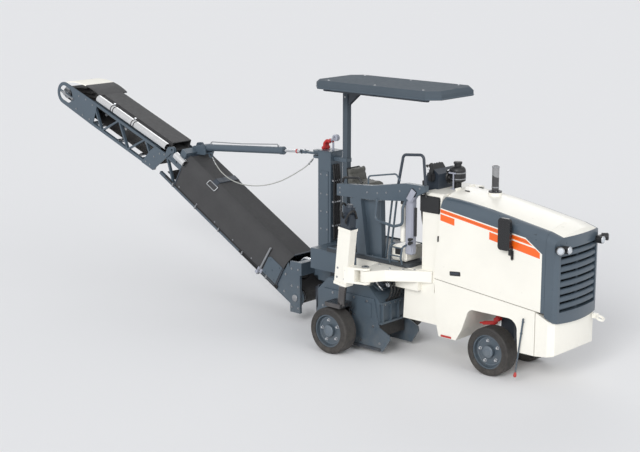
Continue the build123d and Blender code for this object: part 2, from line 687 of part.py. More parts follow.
# name: wheel's middle, side on which the cheek stands, tube's middle, lean, tube's top above the axle
legs = {
    "right_leg": (right_wheel_y, 1, right_wheel_y, leg_lean, 930.0),
    "left_leg": (left_wheel_y, -1, left_tube_y, 0.0, 690.0),
}
for name, (y, inward, tube_y, lean, tube_top) in legs.items():
    cheek_y = y + inward * (wheel_w / 2 + running + cheek_t / 2)
    bridge_out = y - inward * 0.3 * wheel_w
    with BuildPart() as leg:
        with BuildSketch(leg_plane(tube_y, lean).offset(fork_low + fork_t / 2)):
            Circle(leg_r)
        extrude(amount=tube_top - fork_low - fork_t / 2)
        with Locations(at(rear_axle_x + leg_trail / 2, (bridge_out + cheek_y) / 2, wheel_r + fork_low)):
            Box(leg_trail + 130, abs(cheek_y - bridge_out) + cheek_t, fork_t, align=(Align.CENTER, Align.CENTER, Align.MIN))
        with BuildSketch(side.offset(-cheek_y - cheek_t / 2)):
            with BuildLine():
                Polyline((rear_axle_x + leg_trail / 2 - 105, wheel_r + fork_low + fork_t), (rear_axle_x - 62, wheel_r))
                ThreePointArc((rear_axle_x - 62, wheel_r), (rear_axle_x, wheel_r - 62), (rear_axle_x + 62, wheel_r))
                Polyline((rear_axle_x + 62, wheel_r), (rear_axle_x + leg_trail / 2 + 105, wheel_r + fork_low),
                         (rear_axle_x + leg_trail / 2 + 105, wheel_r + fork_low + fork_t),
                         (rear_axle_x + leg_trail / 2 - 105, wheel_r + fork_low + fork_t))
            make_face()
        extrude(amount=cheek_t)
        stub_y = y + inward * (rim_w / 2 - stub_deep + 2)
        with Locations(at(rear_axle_x, (stub_y + cheek_y) / 2, wheel_r)):
            Cylinder(stub_r, abs(cheek_y - stub_y), rotation=(90, 0, 0))
    write(leg.part, name)

column = leg_plane(right_wheel_y, leg_lean)
arm_mid_z = (arm_low_z + arm_top_z) / 2
ear_gap = arm_top_z - arm_low_z + 2 * running / 2
with BuildPart() as swing_arm:
    with BuildSketch(column.offset(column_low)):
        Rectangle(column_x, column_y)
    extrude(amount=column_high - column_low)
    with BuildSketch(Plane(origin=at(0, 0, arm_low_z - running / 2 - ear_t))):
        with BuildLine():
            Polyline((pin_x, pin_y + arm_boss_r), (-1490, right_wheel_y + 62), (-1490, right_wheel_y - 62),
                     (pin_x, pin_y - arm_boss_r))
            ThreePointArc((pin_x, pin_y - arm_boss_r), (pin_x + arm_boss_r, pin_y), (pin_x, pin_y + arm_boss_r))
        make_face()
    extrude(amount=ear_gap + 2 * ear_t)
    with Locations(at(pin_x + 20, pin_y, arm_mid_z)):
        Box(4 * arm_boss_r, 4 * arm_boss_r, ear_gap, mode=Mode.SUBTRACT)
    with Locations(at(pin_x, pin_y, arm_mid_z)):
        Cylinder(pin_r, ear_gap + 3 * ear_t)
    with BuildSketch(column.offset(column_low - 1)):
        Circle(leg_r + fit)
    extrude(amount=column_high - column_low + 2, mode=Mode.SUBTRACT)
    # guide head over the column
    with BuildSketch(column.offset(column_high)):
        Rectangle(column_x - 40, column_y - 10)
    extrude(amount=150)
    with BuildSketch(column.offset(column_high + 150)):
        Rectangle(column_x - 70, column_y - 40)
    extrude(amount=70)
write(swing_arm.part, "swing_arm")

# ================================================================ operator's place
stand_side = side.offset(-stand_y)
with BuildPart() as stand:
    with BuildSketch(stand_side):
        Polygon((-1985, 1602), (-1985, 1728), (-1500, 1768), (-1040, 1850), (-790, 1850), (-790, 1790), (-1035, 1665),
                (-1500, 1615), align=None)
        Polygon((-1800, 1600), (-1650, 1620), (-1560, deck_z), (-1690, deck_z), align=None)
    extrude(amount=-60)
    with BuildSketch(side.offset(-stand_y - 60)):
        Polygon((-1640, deck_z), (-1690, 1500), (-1640, 1590), (-1420, 1610), (-1400, deck_z), align=None)
    extrude(amount=-70)
write(stand.part, "operator_stand")

with BuildPart() as seat:
    with Locations(at(seat_x, 0, deck_z)):
        Box(240, 260, 610, align=(Align.CENTER, Align.CENTER, Align.MIN))
    with Locations(at(seat_x, 0, deck_z + 610)):
        Box(320, 340, 90, align=(Align.CENTER, Align.CENTER, Align.MIN))
    with BuildSketch(Plane(origin=at(0, 0, 0), x_dir=(1, 0, 0), z_dir=(0, -1, 0))):
        Polygon((seat_x - 165, deck_z + 650), (seat_x - 85, deck_z + 650), (seat_x - 140, 1862), (seat_x - 200, 1862),
                align=None)
    extrude(amount=150, both=True)
write(seat.part, "seat")

with BuildPart() as console:
    with BuildSketch(side):
        Polygon((-1010, deck_z), (cowl_rear_x - fit, deck_z), (cowl_rear_x - fit, cowl_top_z + fit),
                (cleaner_x - cleaner_r - running, cowl_top_z + fit), (cleaner_x - cleaner_r - running, 1930),
                (-900, 1975), (-985, 1930), (-1025, 1785), align=None)
    extrude(amount=165, both=True)
write(console.part, "control_console")

with BuildPart() as rails:
    with BuildLine(stand_side.offset(-30)):
        bar = FilletPolyline((-1165, 1815), (-1098, 2140), (-838, 2166), (-806, 1835), radius=46)
    with BuildSketch(Plane(origin=bar @ 0, z_dir=bar % 0)):
        Circle(rail_r)
    sweep()
    add(stand.part, mode=Mode.SUBTRACT)
write(rails.part, "handrail")

# ================================================================ conveyor
low_sin, low_cos = sin(radians(low_angle)), cos(radians(low_angle))
up_sin, up_cos = sin(radians(up_angle)), cos(radians(up_angle))
bend_x = lift_x - low_length * low_cos
bend_z = lift_z + low_length * low_sin

# side planes of the two sections: x up along the section, y square to the belt, normal to the left
low_side = Plane(origin=at(lift_x, 0, lift_z), x_dir=(-low_cos, 0, low_sin), z_dir=(0, 1, 0))
up_side = Plane(origin=at(bend_x, 0, bend_z), x_dir=(-up_cos, 0, up_sin), z_dir=(0, 1, 0))


def square_to(section, along):
    """Plane square to a section at a place up along it: x to the machine's right, y square to the belt."""
    middle = section.from_local_coords((along, 0, 0))
    return Plane(origin=middle, x_dir=(0, -1, 0), z_dir=section.x_dir)


def truss(section, start, stop, low_v, high_v):
    """Two lattice side frames of square tube, open between their chords."""
    bays = round((stop - start) / panel)
    low_mid, high_mid = low_v + chord / 2, high_v + chord / 2
    nodes = [(start + (stop - start) * n / bays, high_mid if n % 2 else low_mid) for n in range(bays + 1)]
    for y in (-boom_half, boom_half - chord):
        with BuildSketch(section.offset(y)) as frame_side:
            for v in (low_mid, high_mid):
                with Locations(((start + stop) / 2, v)):
                    Rectangle(stop - start, chord)
            for first, last in zip(nodes, nodes[1:]):
                with BuildLine():
                    Line(first, last)
                trace(line_width=web_bar)
        extrude(frame_side.sketch, amount=chord)


def cross_tie(section, along, v):
    """Square tube from side to side, under or over the belt."""
    with BuildSketch(square_to(section, along)) as tie:
        with Locations((0, v + chord / 2)):
            Rectangle(2 * boom_half - 2, chord)
    extrude(tie.sketch, amount=chord)


def belt_loop(section, drum_u, end_u):
    """Rubber belt round the drum at drum_u, open at the other end."""
    middle, long = (drum_u + end_u) / 2, abs(end_u - drum_u)
    with BuildSketch(section) as loop:
        with Locations((drum_u, 0)):
            Circle(drum_r + belt_t + fit)
        with Locations((middle, 0)):
            Rectangle(long, 2 * (drum_r + belt_t + fit))
        with Locations((drum_u, 0)):
            Circle(drum_r + fit, mode=Mode.SUBTRACT)
        with Locations((middle + (end_u - drum_u) * 0.01, 0)):
            Rectangle(long * 1.02, 2 * (drum_r + fit), mode=Mode.SUBTRACT)
    extrude(loop.sketch, amount=belt_w / 2, both=True)


def cover(section, start, stop, top):
    """Bent sheet cover outside the truss: upright sides, round shoulders and a flat top."""
    shapes = []
    for inset in (0, sheet):
        half = boom_half + fit + sheet - inset
        high = top - inset
        low = cover_low_v - (1 if inset else 0)
        bulge = (half - 26, cover_side_top + 0.62 * (high - cover_side_top))
        with BuildSketch(square_to(section, start)) as shape:
            with BuildLine():
                sides = Polyline((half, cover_side_top), (half, low), (-half, low), (-half, cover_side_top))
                left = ThreePointArc(sides @ 1, (-bulge[0], bulge[1]), (-cover_shoulder, high))
                flat = Line(left @ 1, (cover_shoulder, high))
                ThreePointArc(flat @ 1, bulge, sides @ 0)
            make_face()
        shapes.append(shape.sketch)
    extrude(shapes[0], amount=stop - start)
    extrude(shapes[1], amount=stop - start, mode=Mode.SUBTRACT)


link_x = slew_x - 230
with BuildPart() as slew:
    cross_low, cross_top = slew_low_z + lug_t + fit, slew_top_z - lug_t - fit
    with Locations(at(slew_x, 0, slew_low_z)):
        Cylinder(slew_r, slew_top_z - slew_low_z, align=(Align.CENTER, Align.CENTER, Align.MIN))
    with Locations(at(slew_x, 0, cross_low)):
        Box(4 * slew_r, 4 * slew_r, cross_top - cross_low, align=(Align.CENTER, Align.CENTER, Align.MIN))
        Box(90, 2 * (boom_half + running + cheek_w), cross_top - cross_low,
            align=(Align.MAX, Align.CENTER, Align.MIN))
    for hand in (-1, 1):
        cheek_mid_y = hand * (boom_half + running + cheek_w / 2)
        with Locations(at(lift_x, cheek_mid_y, 110)):
            Box(cheek_x, cheek_w, cross_top - 110, align=(Align.CENTER, Align.CENTER, Align.MIN))
        with Locations(at(lift_x, cheek_mid_y - hand * 26, lift_z)):
            Cylinder(lift_r, cheek_w + 40, rotation=(90, 0, 0))
    # link that turns on the mast's upper lugs and takes the eye of the lift cylinder's rod
    with BuildSketch(Plane(origin=at(0, 0, eye_z - link_t / 2))) as strap:
        with Locations((slew_x, 0)):
            Circle(link_r)
        with Locations(((slew_x + link_x) / 2 + 24, 0)):
            Rectangle(slew_x - link_x - 50, 1.3 * link_r)
        with Locations((link_x + 54, 0)):
            Rectangle(24, 2 * fork_out)
        with Locations((slew_x, 0)):
            Circle(14, mode=Mode.SUBTRACT)
    extrude(amount=link_t)
    with BuildSketch(side) as ear:
        with Locations((link_x, eye_z)):
            Circle(24)
        with Locations((link_x + 33, eye_z)):
            Rectangle(66, 32)
        with Locations((link_x, eye_z)):
            Circle(14, mode=Mode.SUBTRACT)
    extrude(ear.sketch, amount=fork_out, both=True)
    with Locations(at(link_x - 20, 0, eye_z)):
        Box(124, 2 * fork_in, 120, mode=Mode.SUBTRACT)
write(slew.part, "slew_bracket")

with BuildPart() as lower:
    truss(low_side, 120, fold_u + 60, low_chord_v, rail_v)
    for along in (400, 1000, 1600, 2200):
        cross_tie(low_side, along, low_chord_v)
    for y in (-boom_half, boom_half - 12):
        with BuildSketch(low_side.offset(y)) as foot:
            with BuildLine():
                sole = Polyline((foot_long, cover_side_top - 8), (foot_long + 40, low_chord_v), (60, low_chord_v))
                toe = ThreePointArc(sole @ 1, (-95, -10), (40, 110))
                Polyline(toe @ 1, (low_cover_start - 14, 262), (low_cover_start - 14, cover_side_top - 8), sole @ 0)
            make_face()
            Circle(lift_r + fit, mode=Mode.SUBTRACT)
        extrude(amount=12)
    # portal over the belt that carries the lift cylinder, and the fold pins' plates
    for hand in (-1, 1):
        with BuildSketch(low_side.offset(hand * (boom_half - 9) - 9)):
            with Locations((portal_u + 45, (rail_v + 375) / 2)):
                Rectangle(90, 375 - rail_v)
        extrude(amount=18)
    with BuildSketch(low_side):
        with Locations((portal_u + 45, 355)):
            Rectangle(90, 40)
    extrude(amount=boom_half - 2, both=True)
    for y in (-cyl_r - 22, cyl_r + 4):
        with BuildSketch(low_side.offset(y)):
            with BuildLine():
                root = Polyline((portal_u + 90, 336), (portal_u + 90, 400), (cyl_u + 20, cyl_v + 34))
                nose_arc = ThreePointArc(root @ 1, (cyl_u - 30, cyl_v + 8), (ring_u + 34, ring_v))
                Polyline(nose_arc @ 1, (ring_u + 40, ring_v - 22), (portal_u + 10, 336), root @ 0)
            make_face()
            with Locations((cyl_u, cyl_v)):
                Circle(rod_r + fit, mode=Mode.SUBTRACT)
        extrude(amount=18)
    # cross pin between the plates' noses, and the ring that the safety cable is tied to
    with BuildSketch(low_side):
        with Locations((ring_u + 48, ring_v - 8)):
            Circle(9)
    extrude(amount=cyl_r + 6, both=True)
    with BuildSketch(low_side):
        with Locations((ring_u + 30, ring_v - 4)):
            Rectangle(36, 16)
        with Locations((ring_u, ring_v)):
            Circle(ring_r)
            Circle(ring_r - 14, mode=Mode.SUBTRACT)
    extrude(amount=7, both=True)
    for y in (-boom_half + 4, boom_half - 16):
        with BuildSketch(low_side.offset(y)):
            with BuildLine():
                root = Polyline((fold_u - 150, rail_v), (fold_u - 40, fold_v + 30))
                ThreePointArc(root @ 1, (fold_u + 36, fold_v + 12), (fold_u + 22, fold_v - 30))
                Line((fold_u + 22, fold_v - 30), (fold_u + 10, rail_v))
                Line((fold_u + 10, rail_v), root @ 0)
            make_face()
            with Locations((fold_u, fold_v)):
                Circle(fold_r + fit, mode=Mode.SUBTRACT)
        extrude(amount=12)
write(lower.part, "lower_boom")

with BuildPart() as lower_cover:
    cover(low_side, low_cover_start, low_cover_end, low_cover_top)
write(lower_cover.part, "lower_cover")

with BuildPart() as lower_belt:
    belt_loop(low_side, 0, fold_u)
write(lower_belt.part, "lower_belt")

with BuildPart() as tail:
    with BuildSketch(low_side):
        Circle(drum_r)
    extrude(amount=belt_w / 2 + 20, both=True)
write(tail.part, "tail_drum")

with BuildPart() as upper:
    truss(up_side, 70, up_length - 560, up_chord_v, rail_v)
    for along in (300, 800, 1300):
        cross_tie(up_side, along, up_chord_v)
    fold_up = up_side.to_local_coords(low_side.from_local_coords((fold_u, fold_v, 0)))
    for y in (-boom_half - 12, boom_half):
        with BuildSketch(up_side.offset(y)) as gusset:
            with BuildLine():
                edge = Polyline((70, up_chord_v), (290, up_chord_v), (190, 60), (120, rail_v + chord), (-70, rail_v + chord),
                                (-84, fold_up.Y), (fold_up.X + 10, fold_up.Y + 42))
                tip = ThreePointArc(edge @ 1, (fold_up.X - 42, fold_up.Y), (fold_up.X, fold_up.Y - 42))
                Line(tip @ 1, edge @ 0)
            make_face()
            with Locations((fold_up.X, fold_up.Y)):
                Circle(fold_r, mode=Mode.SUBTRACT)
        extrude(amount=12)
    # head plates: round noses with a slot for the belt's take-up
    for y in (-boom_half, boom_half - 12):
        with BuildSketch(up_side.offset(y)) as head:
            with Locations((up_length, 0)):
                Circle(head_r)
            with BuildLine():
                Polyline((up_length, -head_r), (up_length - 640, up_chord_v), (up_length - 640, rail_v),
                         (up_length - 560, rail_v + chord), (up_length, head_r), (up_length, -head_r))
            make_face()
            with Locations((up_length - 30, 0)):
                SlotOverall(270, 190, mode=Mode.SUBTRACT)
        extrude(amount=12)
        with BuildSketch(up_side.offset(y)):
            with Locations((up_length - 30, 0)):
                Rectangle(300, 34)
            with Locations((up_length, 0)):
                Circle(30)
                Circle(20 + fit, mode=Mode.SUBTRACT)
        extrude(amount=12)
write(upper.part, "upper_boom")

with BuildPart() as upper_cover:
    with BuildSketch(square_to(up_side, -60)):
        with Locations((0, (up_cover_top + rail_v + chord) / 2)):
            Rectangle(2 * (boom_half - 2 * side_tube_r), up_cover_top - rail_v - chord)
            Rectangle(2 * (boom_half - 2 * side_tube_r - sheet), up_cover_top - rail_v - chord - 2 * sheet, mode=Mode.SUBTRACT)
    extrude(amount=up_length - 640 + 60)
    # bent sheet over the head drum
    with BuildSketch(up_side):
        with BuildLine():
            front = ThreePointArc((up_length + 20, head_r + 8), (up_length - 260, 262), (up_length - 641, up_cover_top))
            Polyline(front @ 1, (up_length - 641, up_cover_top - 14))
            under = ThreePointArc((up_length - 641, up_cover_top - 14), (up_length - 260, 248), (up_length + 16, head_r - 6))
            Line(under @ 1, front @ 0)
        make_face()
    extrude(amount=boom_half - 14, both=True)
write(upper_cover.part, "upper_cover")

with BuildPart() as side_tube:
    with BuildSketch(square_to(up_side, -60)):
        with Locations((boom_half - 6, side_tube_v)):
            Circle(side_tube_r)
            Circle(side_tube_r - 5, mode=Mode.SUBTRACT)
    extrude(amount=up_length - 585)
write(side_tube.part, "side_tube")

with BuildPart() as upper_belt:
    belt_loop(up_side, up_length, 60)
write(upper_belt.part, "upper_belt")

with BuildPart() as head_drum:
    with BuildSketch(up_side):
        with Locations((up_length, 0)):
            Circle(drum_r)
    extrude(amount=belt_w / 2 + 20, both=True)
    with BuildSketch(up_side):
        with Locations((up_length, 0)):
            Circle(20)
    extrude(amount=boom_half + 6, both=True)
write(head_drum.part, "head_drum")

# ================================================================ lift cylinder
base = low_side.from_local_coords((cyl_u, cyl_v, 0))
eye = Vector(*at(link_x, 0, eye_z))
reach = (eye - base).length
cylinder = Plane(origin=base, x_dir=(0, 1, 0), z_dir=eye - base)
with BuildPart() as barrel:
    with BuildSketch(cylinder.offset(30)):
        Circle(cyl_r)
    extrude(amount=barrel_long - 30)
    with BuildSketch(Plane(origin=base, x_dir=(1, 0, 0), z_dir=(0, 1, 0))):
        Circle(36)
    extrude(amount=cyl_r, both=True)
    with BuildSketch(Plane(origin=base, x_dir=(1, 0, 0), z_dir=(0, 1, 0))):
        Circle(rod_r)
    extrude(amount=cyl_r + 24, both=True)
    with BuildSketch(cylinder.offset(bore_from)):
        Circle(rod_r + fit)
    extrude(amount=barrel_long, mode=Mode.SUBTRACT)
write(barrel.part, "cylinder_barrel")

with BuildPart() as rod:
    with BuildSketch(cylinder.offset(bore_from + rod_spare)):
        Circle(rod_r)
    extrude(amount=reach - bore_from - rod_spare - 20)
    with BuildSketch(cylinder.offset(reach - 90)):
        Circle(rod_r + 6)
    extrude(amount=50)
    with BuildSketch(Plane(origin=eye, x_dir=(1, 0, 0), z_dir=(0, 1, 0))):
        Circle(24)
        Circle(14, mode=Mode.SUBTRACT)
    extrude(amount=12, both=True)
    with BuildSketch(cylinder.offset(reach - 52)):
        Rectangle(24, 28)
    extrude(amount=34)
write(rod.part, "cylinder_rod")

# ================================================================ safety cable
# slack steel cable from the ring on the boom to the lug at the top of the mast: x, y and z from the datum
cable_points = [
    (-4377.0, 0.0, 1682.0),
    (-4300.0, -6.0, 1588.0),
    (-4188.0, -16.0, 1509.0),
    (-4045.0, -27.0, 1454.0),
    (-3885.0, -36.0, 1427.0),
    (-3715.0, -43.0, 1426.0),
    (-3538.0, -46.0, 1446.0),
    (-3372.0, -46.0, 1484.0),
    (-3204.0, -46.0, 1543.0),
    (-3058.0, -46.0, 1614.0),
    (-2910.0, -46.0, 1698.0),
    (-2779.0, -46.0, 1777.0),
    (-2690.0, -46.0, 1868.0),
]
route = [Vector(*at(*point)) for point in cable_points]
bends = []
for before, corner, after in zip(route, route[1:], route[2:]):
    turn = (corner - before).get_angle(after - corner)
    shorter = min((corner - before).length, (after - corner).length)
    bends.append(0.45 * shorter / tan(radians(turn / 2)))
print("cable radii:", [round(bend) for bend in bends])
with BuildPart() as cable:
    with BuildLine():
        run = FilletPolyline(*route, radius=bends)
    with BuildSketch(Plane(origin=route[0], z_dir=route[1] - route[0])):
        Circle(cable_r)
    sweep()
print("cable volume / (section x length):", cable.part.volume / (pi * cable_r ** 2 * run.length))
write(cable.part, "safety_cable")
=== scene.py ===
"""Looks of the compact wheeled cold planer: finishes, fittings, soft seat, safety cable, camera and light.

Metres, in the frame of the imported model. Places on the machine are counted from the datum on the ground
under its front axle: x ahead, y to the machine's left, z up.
"""
import json
from math import cos, pi, radians, sin, tan

import bmesh
import bpy
from mathutils import Matrix, Vector


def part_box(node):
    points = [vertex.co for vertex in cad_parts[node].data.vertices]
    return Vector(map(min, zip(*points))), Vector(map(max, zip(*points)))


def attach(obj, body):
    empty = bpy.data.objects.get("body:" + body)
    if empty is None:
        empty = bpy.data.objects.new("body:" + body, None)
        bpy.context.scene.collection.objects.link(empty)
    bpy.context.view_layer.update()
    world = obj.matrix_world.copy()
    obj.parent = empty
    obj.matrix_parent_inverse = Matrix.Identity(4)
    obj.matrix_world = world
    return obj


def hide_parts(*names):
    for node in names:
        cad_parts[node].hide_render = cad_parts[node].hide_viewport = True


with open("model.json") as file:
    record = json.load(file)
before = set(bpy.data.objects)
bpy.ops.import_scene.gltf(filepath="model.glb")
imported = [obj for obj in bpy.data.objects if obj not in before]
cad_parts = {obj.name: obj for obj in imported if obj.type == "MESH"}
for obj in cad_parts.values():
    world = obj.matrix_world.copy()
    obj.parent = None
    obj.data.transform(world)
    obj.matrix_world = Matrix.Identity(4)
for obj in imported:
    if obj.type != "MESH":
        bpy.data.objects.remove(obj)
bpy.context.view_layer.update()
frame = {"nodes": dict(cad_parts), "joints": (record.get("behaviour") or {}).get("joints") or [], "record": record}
nodes = frame["nodes"]

# ---------------------------------------------------------------- places taken from the frame
wheel_low, wheel_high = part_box("front_left_tyre")
nose_low, nose_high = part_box("nose_frame")
DATUM = Vector(((wheel_low.x + wheel_high.x) / 2, (nose_low.y + nose_high.y) / 2, 0))
joint_places = {j["name"]: j.get("pos_m") for j in frame["joints"]}


def at(x, y, z):
    """A place on the machine, in the frame of the whole."""
    return DATUM + Vector((x, y, z))


def spot(p):
    """A Vector is in the frame of the whole already, and three plain numbers are a place on the machine."""
    return p if isinstance(p, Vector) else at(*p)


def local(p):
    """A place in the frame of the whole, counted from the machine's datum."""
    return Vector(p) - DATUM


def local_box(node):
    """Low and high corner of a node's box, from the datum."""
    return tuple(local(corner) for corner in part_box(node))


WHEEL_R = (wheel_high.x - wheel_low.x) / 2
BODY_HALF = (nose_high.y - nose_low.y) / 2
DECK_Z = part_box("platform")[1].z
ROOF_LOW, ROOF_HIGH = 2.715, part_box("roof")[1].z
LIFT, HEAD, SWING, BARREL, MILL = (local(joint_places[name]) for name in (
    "conveyor_lift", "head_drum_spin", "swing_arm_hinge", "lift_barrel_pivot", "milling_drum_spin"))
LOW_SLOPE = radians(29.5)
UP_SLOPE = radians(20.8)
BOOM_HALF = 0.239
COVER_HALF = 0.2505                # outer face of the lower cover's side
HANDS = (-1, 1)
X, Y, Z = Vector((1, 0, 0)), Vector((0, 1, 0)), Vector((0, 0, 1))


def on_low(u, v, y=0.0):
    """A place on the lower conveyor: u up along it from the lift pins, v square to its belt."""
    return at(LIFT.x - u * cos(LOW_SLOPE) + v * sin(LOW_SLOPE), y,
              LIFT.z + u * sin(LOW_SLOPE) + v * cos(LOW_SLOPE))


def on_up(u, v, y=0.0):
    """A place on the upper conveyor: u back down along it from the head drum, v square to its belt."""
    return at(HEAD.x + u * cos(UP_SLOPE) + v * sin(UP_SLOPE), y, HEAD.z - u * sin(UP_SLOPE) + v * cos(UP_SLOPE))


def pitch(angle):
    """A turn about the y axis."""
    return Matrix.Rotation(angle, 4, "Y")


# ---------------------------------------------------------------- finishes
def srgb(r, g, b):
    """A colour written as it looks, 0 to 255, as the linear colour that the shader takes."""
    return tuple((c / 255 / 12.92 if c <= 10 else ((c / 255 + 0.055) / 1.055) ** 2.4) for c in (r, g, b)) + (1.0,)


WHITE = srgb(246, 243, 233)
SLATE = srgb(78, 91, 102)
DARK_SLATE = srgb(52, 60, 70)
BLACK = srgb(34, 35, 37)
ORANGE = srgb(246, 104, 28)
DARK_ORANGE = srgb(196, 84, 28)
RED = srgb(190, 44, 42)
LILAC = srgb(166, 169, 181)
ROAD_DUST = srgb(150, 142, 130)
TYRE_DUST = srgb(122, 116, 108)
PEEL = (420.0, 2.0)                # scale and detail of sprayed paint's orange peel


class Finish:
    """A node-based material, with short helpers for the maths on places."""

    def __init__(self, name):
        self.material = bpy.data.materials.new(name)
        self.material.use_nodes = True
        self.tree = self.material.node_tree
        self.shader = self.tree.nodes["Principled BSDF"]
        self.place = self.tree.nodes.new("ShaderNodeTexCoord").outputs["Object"]
        self.parts = None
        self.slot = None

    def link(self, source, target):
        self.tree.links.new(source, target)

    def put(self, name, value):
        """Links a socket to the shader's input, or sets the input to a constant."""
        if hasattr(value, "links"):
            self.link(value, self.shader.inputs[name])
        else:
            self.shader.inputs[name].default_value = value

    def maths(self, operation, *values):
        node = self.tree.nodes.new("ShaderNodeMath")
        node.operation = operation
        for socket, value in zip(node.inputs, values):
            if isinstance(value, (int, float)):
                socket.default_value = value
            else:
                self.link(value, socket)
        return node.outputs[0]

    def axes(self):
        """The place's x, y and z from the machine's datum."""
        if self.parts is None:
            split = self.tree.nodes.new("ShaderNodeSeparateXYZ")
            self.link(self.place, split.inputs[0])
            self.parts = [self.maths("SUBTRACT", out, offset) for out, offset in zip(split.outputs, DATUM)]
        return self.parts

    def noise(self, scale, detail=3.0, rough=0.55, stretch=None):
        node = self.tree.nodes.new("ShaderNodeTexNoise")
        for key, number in (("Scale", scale), ("Detail", detail), ("Roughness", rough)):
            node.inputs[key].default_value = number
        place = self.place
        if stretch:
            mapping = self.tree.nodes.new("ShaderNodeMapping")
            mapping.inputs["Scale"].default_value = stretch
            self.link(place, mapping.inputs["Vector"])
            place = mapping.outputs[0]
        self.link(place, node.inputs["Vector"])
        return node.outputs["Fac"]

    def mix(self, factor, a, b):
        node = self.tree.nodes.new("ShaderNodeMix")
        node.data_type = "RGBA"
        for key, value in ((0, factor), (6, a), (7, b)):
            if hasattr(value, "links"):
                self.link(value, node.inputs[key])
            else:
                node.inputs[key].default_value = value
        return node.outputs[2]

    def ramp(self, value, low, high, to_low=0.0, to_high=1.0):
        node = self.tree.nodes.new("ShaderNodeMapRange")
        for key, number in zip(("From Min", "From Max", "To Min", "To Max"), (low, high, to_low, to_high)):
            node.inputs[key].default_value = number
        self.link(value, node.inputs["Value"])
        return node.outputs[0]

    def roughen(self, low, high, *noise):
        """Roughness that wanders from low to high with a noise."""
        self.put("Roughness", self.ramp(self.noise(*noise), 0.3, 0.7, low, high))

    def bump(self, height, strength, distance=0.002):
        node = self.tree.nodes.new("ShaderNodeBump")
        node.inputs["Strength"].default_value = strength
        node.inputs["Distance"].default_value = distance
        self.link(height, node.inputs["Height"])
        self.put("Normal", node.outputs[0])

    def varied(self, colour, spread, scale=3.0):
        """The colour with a faint, large-scale unevenness."""
        darker = tuple(c * (1 - spread) for c in colour[:3]) + (1.0,)
        return self.mix(self.ramp(self.noise(scale), 0.3, 0.7), darker, colour)

    def dusted(self, colour, dust=ROAD_DUST, top=0.55, amount=0.22):
        """The colour with road dust that thickens towards the ground."""
        height = self.ramp(self.axes()[2], top, 0.05, 0.0, amount)
        patches = self.ramp(self.noise(14.0, 6.0, 0.7), 0.35, 0.7)
        return self.mix(self.maths("MULTIPLY", height, patches), colour, dust)


def paint(name, colour, rough=0.34, spread=0.05, coat=0.2, gloss=0.4):
    """Sprayed machine paint: faint unevenness, orange peel, dust near the ground."""
    finish = Finish(name)
    finish.put("Base Color", finish.dusted(finish.varied(colour, spread)))
    finish.roughen(rough - 0.05, rough + 0.09, 22.0, 4.0)
    finish.put("Coat Weight", coat)
    finish.put("Coat Roughness", 0.2)
    finish.put("Specular IOR Level", gloss)
    finish.bump(finish.noise(*PEEL), 0.05, 0.001)
    return finish


def plastic(name, colour, rough=0.5, grain=900.0, depth=0.12, gloss=0.5):
    """Moulded plastic or sheet with a fine grain."""
    finish = Finish(name)
    finish.put("Base Color", finish.varied(colour, 0.10, 5.0))
    finish.roughen(rough - 0.06, rough + 0.1, 30.0, 5.0)
    finish.put("Specular IOR Level", gloss)
    finish.bump(finish.noise(grain, 3.0), depth, 0.001)
    return finish


def metal(name, colour, rough=0.28, brush=(1.0, 1.0, 1.0), spread=0.08):
    """Bare or plated metal, brushed along the axis that is stretched least."""
    finish = Finish(name)
    finish.put("Base Color", finish.varied(colour, spread, 9.0))
    finish.put("Metallic", 1.0)
    finish.roughen(rough - 0.08, rough + 0.12, 160.0, 4.0, 0.6, brush)
    finish.bump(finish.noise(300.0, 2.0, 0.5, brush), 0.05, 0.0006)
    return finish


def rubber(name, colour=srgb(52, 50, 49), rough=0.72, dust_top=0.5):
    """Solid rubber with a dull, slightly dusty skin."""
    finish = Finish(name)
    finish.put("Base Color", finish.dusted(finish.varied(colour, 0.2, 12.0), TYRE_DUST, dust_top, 0.35))
    finish.roughen(rough - 0.1, rough + 0.1, 40.0, 5.0)
    finish.bump(finish.noise(260.0, 4.0, 0.7), 0.25, 0.0015)
    return finish


def tread_plate(name, colour):
    """Painted steel sheet with a raised pattern for the feet."""
    finish = Finish(name)
    finish.put("Base Color", finish.varied(colour, 0.15, 8.0))
    finish.put("Roughness", 0.5)
    x, y, _ = finish.axes()
    waves = [finish.maths("SINE", finish.maths("MULTIPLY", finish.maths(kind, x, y), 150.0))
             for kind in ("ADD", "SUBTRACT")]
    finish.bump(finish.maths("GREATER_THAN", finish.maths("MULTIPLY", *waves), 0.35), 0.5, 0.002)
    return finish


def milled(name):
    """Cast steel of the milling drum, rubbed bright in places."""
    finish = Finish(name)
    worn = finish.ramp(finish.noise(26.0, 6.0, 0.7), 0.45, 0.62)
    finish.put("Base Color", finish.mix(worn, srgb(74, 70, 66), srgb(128, 124, 118)))
    finish.put("Metallic", 0.7)
    finish.put("Roughness", finish.ramp(worn, 0.0, 1.0, 0.62, 0.38))
    finish.bump(finish.noise(120.0, 6.0, 0.7), 0.4, 0.002)
    return finish


# side view of the painted band and stripes: x and z of the band's lower edge, then the stripes' lower edge
BAND_REAR = -0.634
BAND_EDGE = ((-0.634, 1.641), (0.404, 1.489))
BAND_DROP = ((0.404, 1.489), (0.590, 1.362))
BAND_FRONT = 0.600
STRIPE_EDGE = ((-0.634, 1.512), (0.567, 1.306))
STRIPE_FRONT = 0.575
STRIPE_TOP = 0.09                  # shares of the stripes' height from their top: white outline
STRIPE_DARK = (0.215, 0.255)       # dark line
STRIPE_LINE = (0.37, 0.47)         # white line
STRIPE_GAP = (-0.455, -0.025)      # the lower stripe stops here, and the place is bare
CREASE_HALF = 0.296
TOP_FRONT_Z = 1.530


